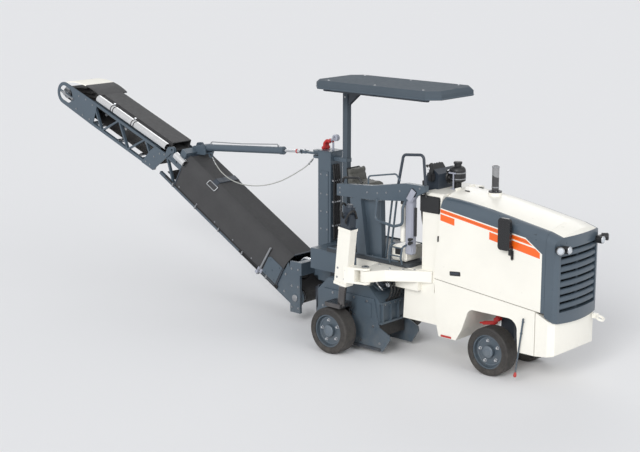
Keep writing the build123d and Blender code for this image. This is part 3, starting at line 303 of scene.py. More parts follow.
def parted(name, ahead, behind, way, edge, rough=0.36, gloss=0.45):
    """Paint of one colour past a plane square to way, and of another short of it."""
    finish = Finish(name)
    x, _, z = finish.axes()
    along = finish.maths("ADD", finish.maths("MULTIPLY", x, way[0]), finish.maths("MULTIPLY", z, way[2]))
    past = finish.maths("GREATER_THAN", along, edge - DATUM.dot(Vector(way)))
    colour = finish.mix(past, finish.varied(behind, 0.05), finish.varied(ahead, 0.04))
    finish.put("Base Color", finish.dusted(colour))
    finish.roughen(rough - 0.05, rough + 0.08, 20.0, 4.0)
    finish.put("Specular IOR Level", gloss)
    finish.bump(finish.noise(*PEEL), 0.05, 0.001)
    return finish


def livery(name):
    """White hood with a slate band under its creased top, orange stripes below it and a slate nose."""
    finish = Finish(name)
    x, y, z = finish.axes()
    test = finish.maths

    def height_on(line, shift=0.0):
        """Height of a straight edge at x."""
        (x0, z0), (x1, z1) = line
        slope = (z1 - z0) / (x1 - x0)
        return test("ADD", test("MULTIPLY", x, slope), z0 - slope * x0 + shift)

    def both(a, b):
        return test("MULTIPLY", a, b)

    def between(value, low, high):
        return both(test("GREATER_THAN", value, low), test("LESS_THAN", value, high))

    band_low = test("MINIMUM", height_on(BAND_EDGE), height_on(BAND_DROP))
    side = test("GREATER_THAN", test("ABSOLUTE", y), CREASE_HALF)
    over_band = both(test("GREATER_THAN", z, band_low), test("GREATER_THAN", x, BAND_REAR))
    ahead = test("GREATER_THAN", x, BAND_FRONT)
    on_side = both(side, test("MAXIMUM", over_band, ahead))
    front = both(ahead, test("LESS_THAN", z, TOP_FRONT_Z))
    slate_place = test("MAXIMUM", on_side, front)

    depth = test("SUBTRACT", height_on(BAND_EDGE), z)
    share = test("DIVIDE", depth, test("SUBTRACT", height_on(BAND_EDGE), height_on(STRIPE_EDGE)))
    inside = between(share, STRIPE_TOP, 1.0)
    dark = between(share, *STRIPE_DARK)
    line = between(share, *STRIPE_LINE)
    gap = both(between(x, *STRIPE_GAP), test("GREATER_THAN", share, STRIPE_LINE[1]))
    below = test("LESS_THAN", z, test("MINIMUM", height_on(BAND_EDGE), height_on(BAND_DROP, -0.012)))
    orange = both(both(inside, below), both(between(x, BAND_REAR, STRIPE_FRONT), side))
    orange = both(orange, test("SUBTRACT", 1.0, test("MAXIMUM", line, gap)))

    colour = finish.mix(slate_place, finish.varied(WHITE, 0.04), finish.varied(SLATE, 0.08))
    colour = finish.mix(orange, colour, finish.mix(dark, ORANGE, DARK_ORANGE))
    finish.put("Base Color", finish.dusted(colour))
    finish.roughen(0.27, 0.4, 20.0, 4.0)
    finish.put("Coat Weight", 0.3)
    finish.put("Coat Roughness", 0.18)
    finish.bump(finish.noise(*PEEL), 0.05, 0.001)
    return finish


def vinyl(name, colour):
    """Seat vinyl with a leather-like grain."""
    finish = Finish(name)
    finish.put("Base Color", finish.varied(colour, 0.2, 20.0))
    finish.put("Roughness", 0.58)
    cells = finish.tree.nodes.new("ShaderNodeTexVoronoi")
    cells.inputs["Scale"].default_value = 420.0
    finish.link(finish.place, cells.inputs["Vector"])
    finish.bump(cells.outputs["Distance"], 0.35, 0.0012)
    return finish


white = paint("white_paint", WHITE, spread=0.03)
slate = paint("slate_paint", SLATE, 0.38, 0.09)
dark_slate = paint("dark_slate_paint", DARK_SLATE, 0.42, 0.12)
hub_paint = paint("hub_paint", srgb(98, 110, 121), 0.4, 0.12)
black = plastic("black_plastic", BLACK, 0.42)
cover_sheet = plastic("cover_sheet", srgb(74, 74, 75), 0.66, 300.0, 0.2, 0.15)
roof_paint = paint("roof_paint", srgb(84, 93, 101), 0.66, 0.08, 0.0, 0.08)
steel = metal("plain_steel", srgb(168, 170, 173), 0.34)
cable_steel = plastic("cable_steel", srgb(176, 177, 172), 0.42, 900.0, 0.3)
leg_steel = metal("leg_steel", srgb(112, 110, 110), 0.24, (1.0, 1.0, 7.0), 0.2)
chrome = metal("chrome", srgb(215, 217, 220), 0.14)
tube_metal = metal("tube_metal", srgb(224, 225, 226), 0.3)
stack_highlight_way = Vector((0.5, 0.0, 1.0))      # painted highlight: the stack is painted bright past a slanting plane 35 mm over its middle, and dark short of it
stack_highlight_edge = (sum(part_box("exhaust_stack"), Vector()) / 2).dot(stack_highlight_way) + 0.035
# the light grey is a painted highlight and the near black a painted reflection, standing in for the shiny metal of the
# stack
stack_painted_highlight = parted("exhaust_painted_highlight", srgb(142, 142, 144), srgb(56, 55, 57), stack_highlight_way, stack_highlight_edge, 0.24, 0.9)
mirror_plastic = plastic("mirror_plastic", srgb(24, 25, 28), 0.24, 900.0, 0.05, 0.6)
tyre_rubber = rubber("tyre_rubber")
belt_rubber = rubber("belt_rubber", srgb(44, 43, 43), 0.66, 0.3)
hose_rubber = plastic("hose_rubber", srgb(30, 30, 31), 0.5, 500.0, 0.3)
lilac = paint("lilac_paint", LILAC, 0.4, 0.06, 0.1)
red = paint("red_paint", RED, 0.4, 0.1)
deck_plate = tread_plate("deck_plate", srgb(56, 62, 68))
drum_metal = milled("drum_metal")
arm_paint = parted("arm_paint", DARK_SLATE, WHITE, (0.0, 0.0, 1.0), 1.372)
frame_paint = parted("frame_paint", WHITE, SLATE, (1.0, 0.0, 0.0), at(-1.72, 0, 0).x)
head_way = Vector((cos(UP_SLOPE), 0.0, -sin(UP_SLOPE)))
hood_sheet = parted("hood_sheet", srgb(76, 76, 77), WHITE, head_way, on_up(0.355, 0.0).dot(head_way), 0.58, 0.15)
livery_paint = livery("livery_paint")
seat_vinyl = vinyl("seat_vinyl", srgb(84, 84, 79))
lamp_glass = plastic("lamp_glass", srgb(206, 212, 218), 0.12, 60.0, 0.3)

# slot name set on each finish
for slot, finishes in (
        ("cream_paint", (white, tube_metal)), ("slate_paint", (slate, hub_paint, lilac)), ("dark_paint", (dark_slate,)),
        ("cover_plastic", (black,)), ("steel", (steel,)), ("chrome", (chrome,)), ("axle_red", (red,)),
        ("tyre", (tyre_rubber,)), ("rubber", (belt_rubber, hose_rubber)), ("lamp_glass", (lamp_glass,))):
    for finish in finishes:
        finish.slot = slot

# finish of each slot's CAD nodes, then of the nodes that differ from their slot's
NODE_FINISH = {
    "cream_paint": white, "slate_paint": slate, "dark_paint": dark_slate, "cover_plastic": cover_sheet,
    "steel": steel, "cast": drum_metal, "tyre": tyre_rubber, "rubber": belt_rubber, "seat_vinyl": seat_vinyl,
    "lamp_glass": black, "chrome": chrome, "axle_red": red,
    "hood": livery_paint, "nose_frame": livery_paint, "platform": deck_plate, "air_cleaner": black,
    "side_tube": tube_metal, "mirror": mirror_plastic, "exhaust_stack": stack_painted_highlight, "engine_block": dark_slate,
    "safety_cable": cable_steel, "right_leg": leg_steel, "left_leg": leg_steel, "rear_frame": frame_paint,
    "upper_cover": hood_sheet, "swing_arm": arm_paint, "roof": roof_paint, "front_axle": dark_slate,
    "chute": dark_slate,
}
for part in frame["record"]["subparts"]:
    finish = NODE_FINISH.get(part["node"]) or NODE_FINISH[part["material_slot"]]
    mesh = nodes[part["node"]].data
    mesh.materials.clear()
    mesh.materials.append(finish.material)


# ---------------------------------------------------------------- small solids
def rounded(points, radius, steps=6):
    """The points' path with its corners rounded by arcs."""
    if radius <= 0 or len(points) < 3:
        return points
    path = [points[0]]
    for before, corner, after in zip(points, points[1:], points[2:]):
        back, ahead = before - corner, after - corner
        reach = min(radius / tan(back.angle(ahead) / 2), 0.48 * back.length, 0.48 * ahead.length)
        first, last = corner + back.normalized() * reach, corner + ahead.normalized() * reach
        for step in range(steps + 1):
            t = step / steps
            path.append(first * (1 - t) ** 2 + corner * 2 * t * (1 - t) + last * t ** 2)
    return path + [points[-1]]


def soften(part, edges, offset):
    """Breaks the edges."""
    bmesh.ops.bevel(part, geom=edges, offset=offset, segments=2, affect="EDGES")


def moved(part, to, turn):
    """The solid turned, then moved."""
    bmesh.ops.transform(part, matrix=Matrix.Translation(to) @ turn, verts=part.verts)
    return part


def block(centre, size, soft=0.003, turn=Matrix()):
    """A box with its edges broken by soft."""
    part = bmesh.new()
    bmesh.ops.create_cube(part, size=1.0)
    for vert in part.verts:
        vert.co = Vector(vert.co[i] * size[i] for i in range(3))
    soften(part, part.edges[:], min(soft, 0.45 * min(size)))
    return moved(part, spot(centre), turn)


def bar(start, end, radius, end_radius=None, sides=20, soft=0.0):
    """A straight bar or cone from start to end."""
    start, end = spot(start), spot(end)
    part = bmesh.new()
    bmesh.ops.create_cone(part, cap_ends=True, segments=sides, radius1=radius,
                          radius2=radius if end_radius is None else end_radius, depth=(end - start).length)
    if soft:
        soften(part, [e for e in part.edges if abs(e.verts[0].co.z - e.verts[1].co.z) < 1e-6], soft)
    return moved(part, (start + end) / 2, (end - start).to_track_quat("Z", "Y").to_matrix().to_4x4())


def pipe(points, radius, bend=0.04, sides=10):
    """A bent bar or hose along the points."""
    path = rounded([spot(p) for p in points], bend)
    part = bmesh.new()
    rings = []
    normal = (path[1] - path[0]).orthogonal().normalized()
    for index, place in enumerate(path):
        ahead = (path[min(index + 1, len(path) - 1)] - path[max(index - 1, 0)]).normalized()
        normal = (normal - ahead * normal.dot(ahead)).normalized()
        across = ahead.cross(normal)
        rings.append([part.verts.new(place + (normal * cos(2 * pi * k / sides) + across * sin(2 * pi * k / sides))
                                     * radius) for k in range(sides)])
    for first, last in zip(rings, rings[1:]):
        for k in range(sides):
            part.faces.new((first[k], first[(k + 1) % sides], last[(k + 1) % sides], last[k]))
    part.faces.new(rings[0])
    part.faces.new(rings[-1])
    return part


def lathe(base, axis, profile, sides=32):
    """A turned form: profile rows are radius and height along the axis."""
    part = bmesh.new()
    rings = []
    for radius, height in profile:
        turns = [2 * pi * k / sides for k in range(1 if radius < 1e-6 else sides)]
        rings.append([part.verts.new((radius * cos(a), radius * sin(a), height)) for a in turns])
    for first, last in zip(rings, rings[1:]):
        for k in range(sides):
            corners = [ring[j % len(ring)] for ring, j in ((first, k), (first, k + 1), (last, k + 1), (last, k))]
            part.faces.new(list(dict.fromkeys(corners)))
    return moved(part, spot(base), Vector(axis).to_track_quat("Z", "Y").to_matrix().to_4x4())


def sheet(outline, along, soft=0.0):
    """A flat outline of points, thickened by the vector along."""
    part = bmesh.new()
    face = part.faces.new([part.verts.new(spot(p)) for p in outline])
    grown = bmesh.ops.extrude_face_region(part, geom=[face])
    top = [v for v in grown["geom"] if isinstance(v, bmesh.types.BMVert)]
    bmesh.ops.translate(part, vec=along, verts=top)
    bmesh.ops.recalc_face_normals(part, faces=part.faces)
    if soft:
        soften(part, part.edges[:], soft)
    return part


def bolts(places, axis, radius=0.009, high=0.007):
    """Hexagon heads on washers at the places, standing along the axis."""
    for place in map(spot, places):
        yield bar(place, place + axis * 0.25 * high, 1.45 * radius, sides=16)
        yield bar(place + axis * 0.2 * high, place + axis * high, radius, 0.93 * radius, sides=6)


def polar(centre, radius, angles, first=X, second=Y):
    """Places on a circle."""
    return [centre + first * radius * cos(a) + second * radius * sin(a) for a in angles]


def turns(count, start=0.0):
    """Evenly spread angles."""
    return [2 * pi * n / count + start for n in range(count)]


def band(inner, outer, wide, soft):
    """Profile of a band round a tube."""
    return [(inner, 0.0), (outer, soft), (outer, wide - soft), (inner, wide)]


def thing(name, data):
    """A new object of the scene."""
    made = bpy.data.objects.new(name, data)
    bpy.context.scene.collection.objects.link(made)
    return made


def flat(parts):
    """The solids of nested rows, one by one."""
    for part in parts:
        if isinstance(part, bmesh.types.BMesh):
            yield part
        else:
            yield from flat(part)


def piece(name, body, finish, *parts, slot=None):
    """Joins the solids in one object of one finish that rides on its body."""
    whole = bmesh.new()
    for part in flat(parts):
        bmesh.ops.recalc_face_normals(part, faces=part.faces)
        holder = bpy.data.meshes.new("holder")
        part.to_mesh(holder)
        part.free()
        whole.from_mesh(holder)
        bpy.data.meshes.remove(holder)
    mesh = bpy.data.meshes.new(name)
    whole.to_mesh(mesh)
    whole.free()
    mesh.polygons.foreach_set("use_smooth", [True] * len(mesh.polygons))
    mesh.set_sharp_from_angle(angle=radians(38))
    mesh.materials.append(finish.material)
    made = thing(name, mesh)
    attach(made, body)
    slot or finish.slot
    return made


# ---------------------------------------------------------------- wheels
RIM_DISH = 0.042                   # depth of the rim's dish
NUT_CIRCLE = 0.112                 # radius of the circle of nuts


def wheel_fittings(name, hand):
    """Nuts, hub cap and sidewall rings of one wheel, whose disc faces to hand."""
    low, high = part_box(f"{name}_rim")
    middle, face, rim_r = (low + high) / 2, (high.y - low.y) / 2, (high.x - low.x) / 2
    body, out = f"{name}_wheel", Y * hand
    dish, hub = middle + out * (face - RIM_DISH), middle + out * face
    piece(f"{name}_bolts", body, chrome,
          [(bar(p, p + out * 0.008, 0.017, sides=16), bar(p + out * 0.007, p + out * 0.026, 0.0135, 0.0125, 6))
           for p in polar(dish, NUT_CIRCLE, turns(5, 0.5), X, Z)])
    piece(f"{name}_hub_cap", body, hub_paint,
          lathe(hub - out * 0.002, out, [(0, 0), (0.062, 0), (0.062, 0.002), (0.056, 0.007), (0.038, 0.01),
                                         (0.036, 0.006), (0, 0.006)]),
          lathe(dish, out, [(0.138, 0), (0.15, 0), (0.15, 0.005), (0.146, 0.007), (0.142, 0.007), (0.138, 0.005),
                            (0.138, 0)], 48))
    low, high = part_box(f"{name}_tyre")
    half = (high.y - low.y) / 2
    piece(f"{name}_tyre_rings", body, tyre_rubber,
          [lathe(middle + Y * side * (half - 0.001), Y * side,
                 [(radius - thick, 0), (radius - 0.4 * thick, 0.0035), (radius + 0.4 * thick, 0.0035),
                  (radius + thick, 0)], 64)
           for side in HANDS for radius, thick in ((rim_r + 0.012, 0.006), (WHEEL_R - 0.03, 0.004))])


for wheel, hand in (("front_right", -1), ("front_left", 1), ("rear_right", -1), ("rear_left", 1)):
    wheel_fittings(wheel, hand)


# ---------------------------------------------------------------- hood, nose and lower body
LATCH_TURN = pitch(-0.1)
GRILLE_BARS = 22


def hood_fittings():
    """Latches, handle wells and grille backing on the hood."""
    piece("hood_latches", "hood", black,
          [(block((-0.435, hand * (BODY_HALF + 0.001), 0.985), (0.135, 0.01, 0.046), 0.006, LATCH_TURN),
            block((0.262, hand * (BODY_HALF + 0.012), 1.295), (0.026, 0.028, 0.105), 0.009),
            block((-0.655, hand * (BODY_HALF + 0.004), 1.315), (0.014, 0.018, 0.062), 0.004),
            block((0.5, hand * 0.375, 1.53), (0.05, 0.014, 0.018))) for hand in HANDS],
          [block((-0.5, y, 1.794), (0.055, 0.022, 0.012), 0.004) for y in (-0.12, 0.12)])
    piece("hood_handle_wells", "hood", dark_slate,
          [block((-0.435, hand * (BODY_HALF + 0.006), 0.989), (0.105, 0.006, 0.024), 0.002, LATCH_TURN)
           for hand in HANDS])
    low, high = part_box("grille")
    middle, size = (low + high) / 2, high - low
    deep = low.x - 0.012
    places = [low.y + size.y * (n + 0.5) / GRILLE_BARS for n in range(GRILLE_BARS)]
    piece("grille_backing", "hood", black,
          block(Vector((deep, middle.y, middle.z)), (0.006, size.y + 0.03, size.z + 0.03), 0.001),
          [bar(Vector((deep + 0.006, y, low.z)), Vector((deep + 0.006, y, high.z)), 0.003, sides=6) for y in places])
    piece("nose_latch", "hood", black, block((0.775, 0.02, 1.5), (0.012, 0.055, 0.022), 0.004),
          block((0.781, 0.02, 1.486), (0.01, 0.02, 0.03)))


def lamp_fittings():
    """Clear lenses and chrome rings of the work lamps on the nose's corners."""
    lens = [(0.03, 0), (0.028, 0.004), (0.016, 0.008), (0, 0.009)]
    bezel = [(0.029, 0), (0.038, 0), (0.038, 0.004), (0.034, 0.008), (0.03, 0.004), (0.029, 0)]
    lamps = []
    for hand in HANDS:
        aim = Vector((1, hand * 0.9, 0)).normalized()
        lamps += [(at(0.853, hand * 0.303, 1.418), X), (at(0.786, hand * 0.387, 1.428) + aim * 0.062, aim)]
    piece("lamp_lenses", "hood", lamp_glass, [lathe(p - axis * 0.001, axis, lens, 28) for p, axis in lamps])
    piece("lamp_rings", "hood", chrome, [lathe(p - axis * 0.002, axis, bezel, 28) for p, axis in lamps])


def upright(node):
    """Low and high corner of an upright node, and the foot of its centre line on the ground."""
    low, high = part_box(node)
    return low, high, Vector(((low.x + high.x) / 2, (low.y + high.y) / 2, 0))


def stack_fittings():
    """Clamps, bolts, bore and foot ring of the exhaust stack."""
    low, high, centre = upright("exhaust_stack")
    piece("exhaust_clamps", "hood", steel,
          [lathe(centre + Z * z, Z, band(0.035, 0.0395, 0.016, 0.002)) for z in (1.845, 2.052)],
          bolts(polar(centre + Z * (low.z + 0.012), 0.054, turns(4, 0.8)), Z, 0.006, 0.006))
    piece("exhaust_bore", "hood", black,
          lathe(centre + Z * (high.z - 0.03), Z, [(0, 0), (0.0265, 0), (0.0265, 0.001), (0, 0.001)], 24),
          lathe(centre + Z * (low.z + 0.011), Z, [(0.034, 0), (0.067, 0), (0.067, 0.003), (0.034, 0.005)]))


def cleaner_fittings():
    """Bands, ribs, bracket, canister and intake elbow of the air cleaner behind the hood."""
    low, high, centre = upright("air_cleaner")
    wide = (high.x - low.x) / 2

    def by(x, y, z):
        """A place counted from the cleaner's centre line."""
        return centre + Vector((x, y, z))

    piece("cleaner_bands", "chassis", steel,
          [lathe(centre + Z * z, Z, band(wide - 0.001, wide + 0.003, 0.014, 0.002), 40) for z in (1.868, 1.93)],
          bar(by(0, -wide - 0.004, 1.875), by(0.03, -wide - 0.004, 1.875), 0.005, sides=8))
    piece("cleaner_ribs", "chassis", black,
          [block(place, (0.012, 0.006, 0.05), 0.002, Matrix.Rotation(angle, 4, "Z"))
           for angle in turns(14) for place in polar(centre + Z * 1.905, wide - 0.004, [angle])],
          lathe(centre + Z * 2.028, Z, [(0, 0), (0.044, 0), (0.046, 0.006), (0.044, 0.02), (0, 0.022)], 28))
    side_y = -wide - 0.016
    piece("cleaner_bracket", "chassis", lilac, block(by(0.02, side_y, 1.862), (0.016, 0.008, 0.17), 0.002),
          block(by(0.004, side_y, 1.942), (0.095, 0.01, 0.016)),
          block(by(0.02, side_y, 1.778), (0.06, 0.03, 0.01), 0.002))
    can = by(-0.075, -0.015, 1.885)
    piece("cleaner_canister", "chassis", black,
          lathe(can, -X, [(0, 0), (0.062, 0.004), (0.068, 0.014), (0.068, 0.085), (0.06, 0.1), (0.03, 0.112),
                          (0, 0.114)]))
    piece("canister_bands", "chassis", chrome,
          [lathe(can - X * along, -X, band(0.067, 0.0705, 0.012, 0.001), 36) for along in (0.018, 0.074)])
    piece("intake_elbow", "chassis", hose_rubber,
          pipe([by(-0.06, -0.02, 1.87), by(-0.13, -0.05, 1.885), by(-0.19, -0.09, 1.86), by(-0.22, -0.12, 1.8)],
               0.03, 0.08, 14))


def body_fittings():
    """Reflectors, marker rod, and the red guards and steering cylinder of the front axle."""
    piece("fender_reflectors", "chassis", red,
          [block((-0.534, hand * (BODY_HALF + 0.002), 0.3), (0.135, 0.007, 0.022)) for hand in HANDS])
    rod_y = -BODY_HALF - 0.016
    top, foot = at(0.418, rod_y, 0.68), at(0.342, rod_y, 0.095)
    piece("marker_rod", "chassis", slate, bar(top, foot, 0.0095, 0.0075, 12),
          [block((x, -BODY_HALF - 0.006, z), (0.026, 0.014, 0.018)) for x, z in ((0.41, 0.642), (0.392, 0.52))])
    piece("marker_tip", "chassis", red,
          lathe(foot + (foot - top).normalized() * 0.036, top - foot,
                [(0, 0), (0.012, 0.003), (0.017, 0.014), (0.015, 0.034), (0.009, 0.054), (0, 0.06)], 18))
    piece("front_axle_bolts", "chassis", steel,
          bolts([(x, hand * 0.1, 0.335) for hand in HANDS for x in (-0.055, 0.055)], Z, 0.009, 0.009))
    piece("axle_guard", "chassis", red,
          [(block((-0.165, hand * 0.14, 0.468), (0.17, 0.06, 0.034), 0.008, pitch(-0.2)),
            block((-0.06, hand * 0.15, 0.528), (0.075, 0.06, 0.05), 0.008, pitch(-0.55)),
            bar((-0.24, hand * 0.14, 0.454), (-0.285, hand * 0.14, 0.446), 0.01, sides=14)) for hand in HANDS])
    piece("steering_cylinder", "chassis", red,
          [bar((-0.082, hand * 0.02, 0.262), (-0.082, hand * 0.125, 0.262), 0.022) for hand in HANDS],
          block((-0.066, 0, 0.262), (0.034, 0.06, 0.06), 0.004))


# ---------------------------------------------------------------- operator's place
LEVERS = [-0.125 + 0.042 * n for n in range(6)]
PANEL_TURN = pitch(radians(-38))


def console_fittings():
    """Panels, levers, knobs, display and hoses of the console."""
    piece("console_panel", "chassis", black,
          block((-0.952, -0.03, 1.968), (0.018, 0.24, 0.11), 0.006, PANEL_TURN),
          block((-0.78, -0.375, 1.655), (0.255, 0.018, 0.175), 0.012),
          block((-0.905, -0.2, 1.9), (0.06, 0.07, 0.085), 0.012),
          block((-0.905, 0.14, 1.925), (0.07, 0.06, 0.05), 0.01),
          pipe([(-0.82, -0.385, 1.72), (-0.86, -0.385, 1.82), (-0.9, -0.34, 1.88)], 0.011))
    piece("console_levers", "chassis", chrome,
          [bar((-0.985, y, 1.915), (-1.015, y, 1.985), 0.0045, sides=10) for y in LEVERS])
    knob = [(0, 0), (0.009, 0.002), (0.013, 0.014), (0.011, 0.026), (0, 0.031)]
    stick = [(0, 0), (0.02, 0), (0.024, 0.03), (0.016, 0.06), (0.021, 0.085), (0.015, 0.105), (0, 0.11)]
    piece("console_knobs", "chassis", black,
          [lathe((-1.013, y, 1.98), (-0.39, 0, 0.92), knob, 18) for y in LEVERS],
          lathe((-0.905, -0.2, 1.94), Z, stick, 22))
    piece("console_display", "chassis", lamp_glass,
          block((-0.963, -0.03, 1.976), (0.006, 0.155, 0.075), 0.003, PANEL_TURN))
    piece("console_hoses", "chassis", hose_rubber,
          [pipe([(-1.028, y, 1.7), (-1.055, y - 0.01, 1.58), (-1.045, y, 1.42), (-1.014, y, 1.3)], 0.011, 0.06)
           for y in (-0.155 + 0.024 * n for n in range(4))])


def stand_fittings():
    """Rails, light boxes and pipes on the operator's arm."""
    y = local_box("operator_stand")[0].y
    piece("lilac_boxes", "chassis", lilac,
          block((-0.965, y + 0.03, 1.735), (0.085, 0.08, 0.15), 0.01, pitch(0.55)),
          block((-1.01, y + 0.055, 1.43), (0.095, 0.075, 0.66), 0.01))
    piece("white_boxes", "chassis", white, block((-1.155, -0.27, 1.085), (0.2, 0.28, 0.155), 0.014),
          bar((-1.105, y + 0.05, 1.22), (-1.105, y + 0.05, 1.62), 0.03, sides=24, soft=0.004))
    plug = [(0, 0), (0.011, 0), (0.011, 0.03), (0.019, 0.034), (0.019, 0.052), (0, 0.056)]
    piece("box_fittings", "chassis", black,
          bar((-1.105, y + 0.05, 1.62), (-1.105, y + 0.05, 1.665), 0.034, 0.03, 24, 0.005),
          bar((-0.945, y + 0.05, 1.3), (-0.945, y + 0.05, 1.6), 0.014, sides=14),
          [lathe((-0.955, y + 0.01, z), -Y, plug, 18) for z in (1.275, 1.235)],
          block((-1.155, -0.414, 1.11), (0.09, 0.006, 0.07)))
    piece("arm_rails", "chassis", slate,
          pipe([(-1.42, y - 0.002, 1.64), (-1.42, y - 0.03, 1.42), (-1.17, y - 0.03, 1.385), (-1.055, y - 0.03, 1.42),
                (-1.055, y - 0.03, 1.6), (-1.055, y + 0.03, 1.68)], 0.015, 0.06, 12),
          [bar((x - 0.035, y + 0.1, DECK_Z), (x + 0.045, y + 0.1, 1.625), 0.011, sides=12) for x in (-1.345, -1.285)],
          pipe([(-1.56, y + 0.02, 1.775), (-1.56, y + 0.02, 1.862), (-1.185, y + 0.02, 1.93),
                (-1.13, y + 0.02, 1.86)], 0.009))
    piece("arm_rest_tube", "chassis", black,
          pipe([(-1.93, y + 0.035, 1.745), (-1.92, y + 0.035, 1.8), (-1.7, y + 0.035, 1.822),
                (-1.66, y + 0.035, 1.77)], 0.013, 0.05))
    piece("arm_bolts", "chassis", steel,
          bolts([(x, y + 0.001, z) for x, z in ((-1.94, 1.64), (-1.94, 1.69), (-1.56, 1.69), (-1.42, 1.7), (-1.3, 1.72),
                                                (-1.12, 1.76), (-0.86, 1.82))], -Y, 0.007, 0.006))


def deck_fittings():
    """Edge strips, step frame and bolts of the deck."""
    low, high = local_box("platform")
    piece("deck_edge", "chassis", slate,
          [block(((low.x + high.x - 0.12) / 2, y, DECK_Z + 0.004), (high.x - low.x - 0.16, 0.008, 0.022))
           for y in (low.y + 0.004, high.y - 0.004)],
          block((low.x + 0.004, (low.y + high.y) / 2, DECK_Z + 0.004), (0.008, high.y - low.y, 0.022)))
    step_y = low.y - 0.028
    piece("step_frame", "chassis", slate,
          [pipe([(x, low.y - 0.002, 0.985), (x, step_y, 1.06), (x + 0.02, step_y, 1.175),
                 (x + 0.04, low.y + 0.02, 1.2)], 0.011, 0.03) for x in (-1.235, -1.075)],
          [bar((-1.225, step_y, z), (-1.065, step_y, z), 0.008, sides=10) for z in (1.075, 1.165)])
    piece("deck_bolts", "chassis", steel,
          bolts([(low.x + 0.09 + 0.26 * n, y, DECK_Z + 0.001) for n in range(4)
                 for y in (low.y + 0.05, high.y - 0.05)], Z, 0.007, 0.005))


CUSHION_STEPS = 14                 # slices across a cushion
SEAM_HALF = 0.022                  # half of a sewn channel's width
SWELL_FRAMES = 14


def cushion(name, outline, crown, channels, along):
    """A padded form: four corners in x and z, drawn out along the y range, swelled and sewn.

    crown is how far the pad may swell, and channels are rows for sew().
    """
    corners = [Vector((x, 0, z)) for x, z in outline]
    middle = sum(corners, Vector()) / len(corners)
    part = bmesh.new()
    rings = []
    for step in range(CUSHION_STEPS + 1):
        t = step / CUSHION_STEPS
        edge = min(t, 1 - t) * CUSHION_STEPS
        pull = 0.14 * max(0.0, 1 - edge / 1.6) ** 2
        y = along[0] + (along[1] - along[0]) * t
        rings.append([part.verts.new(at(*(p.lerp(middle, pull) + Y * y))) for p in corners])
    for first, last in zip(rings, rings[1:]):
        for k in range(4):
            part.faces.new((first[k], first[(k + 1) % 4], last[(k + 1) % 4], last[k]))
    part.faces.new(rings[0])
    part.faces.new(rings[-1])
    bmesh.ops.recalc_face_normals(part, faces=part.faces)
    long_edges = [e for e in part.edges if abs((e.verts[0].co - e.verts[1].co).normalized().y) > 0.9]
    bmesh.ops.bevel(part, geom=long_edges, offset=0.018, segments=3, affect="EDGES")
    mesh = bpy.data.meshes.new(name)
    part.to_mesh(mesh)
    part.free()
    pad = thing(name, mesh)
    bpy.context.view_layer.objects.active = pad
    pad.select_set(True)
    remesh = pad.modifiers.new("remesh", "REMESH")
    remesh.mode = "VOXEL"
    remesh.voxel_size = 0.009
    bpy.ops.object.modifier_apply(modifier=remesh.name)
    swell(pad, crown)
    sew(pad, channels)
    smooth = pad.modifiers.new("smooth", "SMOOTH")
    smooth.iterations = 4
    bpy.ops.object.modifier_apply(modifier=smooth.name)
    fine = pad.modifiers.new("fine", "SUBSURF")
    fine.levels = fine.render_levels = 1
    bpy.ops.object.modifier_apply(modifier=fine.name)
    pad.select_set(False)
    pad.data.polygons.foreach_set("use_smooth", [True] * len(pad.data.polygons))
    pad.data.materials.append(seat_vinyl.material)
    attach(pad, "chassis")


def swell(pad, crown):
    """Blows the pad up with cloth pressure, and caps how far each point may move."""
    start = [v.co.copy() for v in pad.data.vertices]
    cloth = pad.modifiers.new("cloth", "CLOTH")
    cloth.settings.use_pressure = True
    cloth.settings.uniform_pressure_force = 4.0
    cloth.settings.effector_weights.gravity = 0.0
    cloth.settings.quality = 4
    for step in range(1, SWELL_FRAMES + 1):
        bpy.context.scene.frame_set(step)
    shaped = pad.evaluated_get(bpy.context.evaluated_depsgraph_get())
    ends = [v.co.copy() for v in shaped.data.vertices]
    pad.modifiers.remove(cloth)
    bpy.context.scene.frame_set(1)
    for vert, first, last in zip(pad.data.vertices, start, ends):
        move = last - first
        vert.co = first + move * min(1.0, crown / max(move.length, 1e-6))


def sew(pad, channels):
    """Presses sewn channels into the pad: each row is the axis, the place and the depth."""
    for axis, place, depth in channels:
        for vert, normal in [(v, v.normal.copy()) for v in pad.data.vertices]:
            near = abs(local(vert.co)[axis] - place)
            if near < SEAM_HALF:
                vert.co -= normal * depth * (0.5 + 0.5 * cos(pi * near / SEAM_HALF))


def seat():
    """Seat of two padded cushions, on a boxed base with a bellows."""
    low, high = local_box("seat")
    x, top, lip = (low.x + high.x) / 2, 1.7, high.z - 0.016
    cushion("seat_cushion", ((low.x + 0.05, top - 0.075), (high.x - 0.022, top - 0.085), (high.x - 0.03, top - 0.018),
                             (low.x + 0.05, top - 0.006)), 0.014,
            [(1, -0.105, 0.01), (1, 0.105, 0.01), (0, x - 0.02, 0.006)], (-0.158, 0.158))
    cushion("seat_back", ((low.x + 0.025, lip), (low.x + 0.045, 1.655), (low.x + 0.108, 1.655), (low.x + 0.068, lip)),
            0.012, [(1, -0.092, 0.009), (1, 0.092, 0.009), (2, 1.775, 0.006)], (-0.14, 0.14))
    base = piece("seat_base", "chassis", black, block((x, 0, 1.598), (0.3, 0.31, 0.022), 0.006),
                 [block((x, 0, 1.3 + 0.058 * n), (0.235 - 0.012 * (n % 2), 0.255 - 0.012 * (n % 2), 0.05), 0.018)
                  for n in range(5)],
                 block((x, 0, 1.13), (0.225, 0.245, 0.25), 0.01),
                 block((low.x + 0.014, 0, 1.755), (0.016, 0.22, 0.16), 0.006, pitch(-0.14)))
    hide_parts("seat")


# ---------------------------------------------------------------- mast and roof
MAST_X, POST_X = -2.478, -2.235    # middle lines of the mast and of the roof's post
ROOF_BEAMS = (POST_X, -1.59, -0.95)


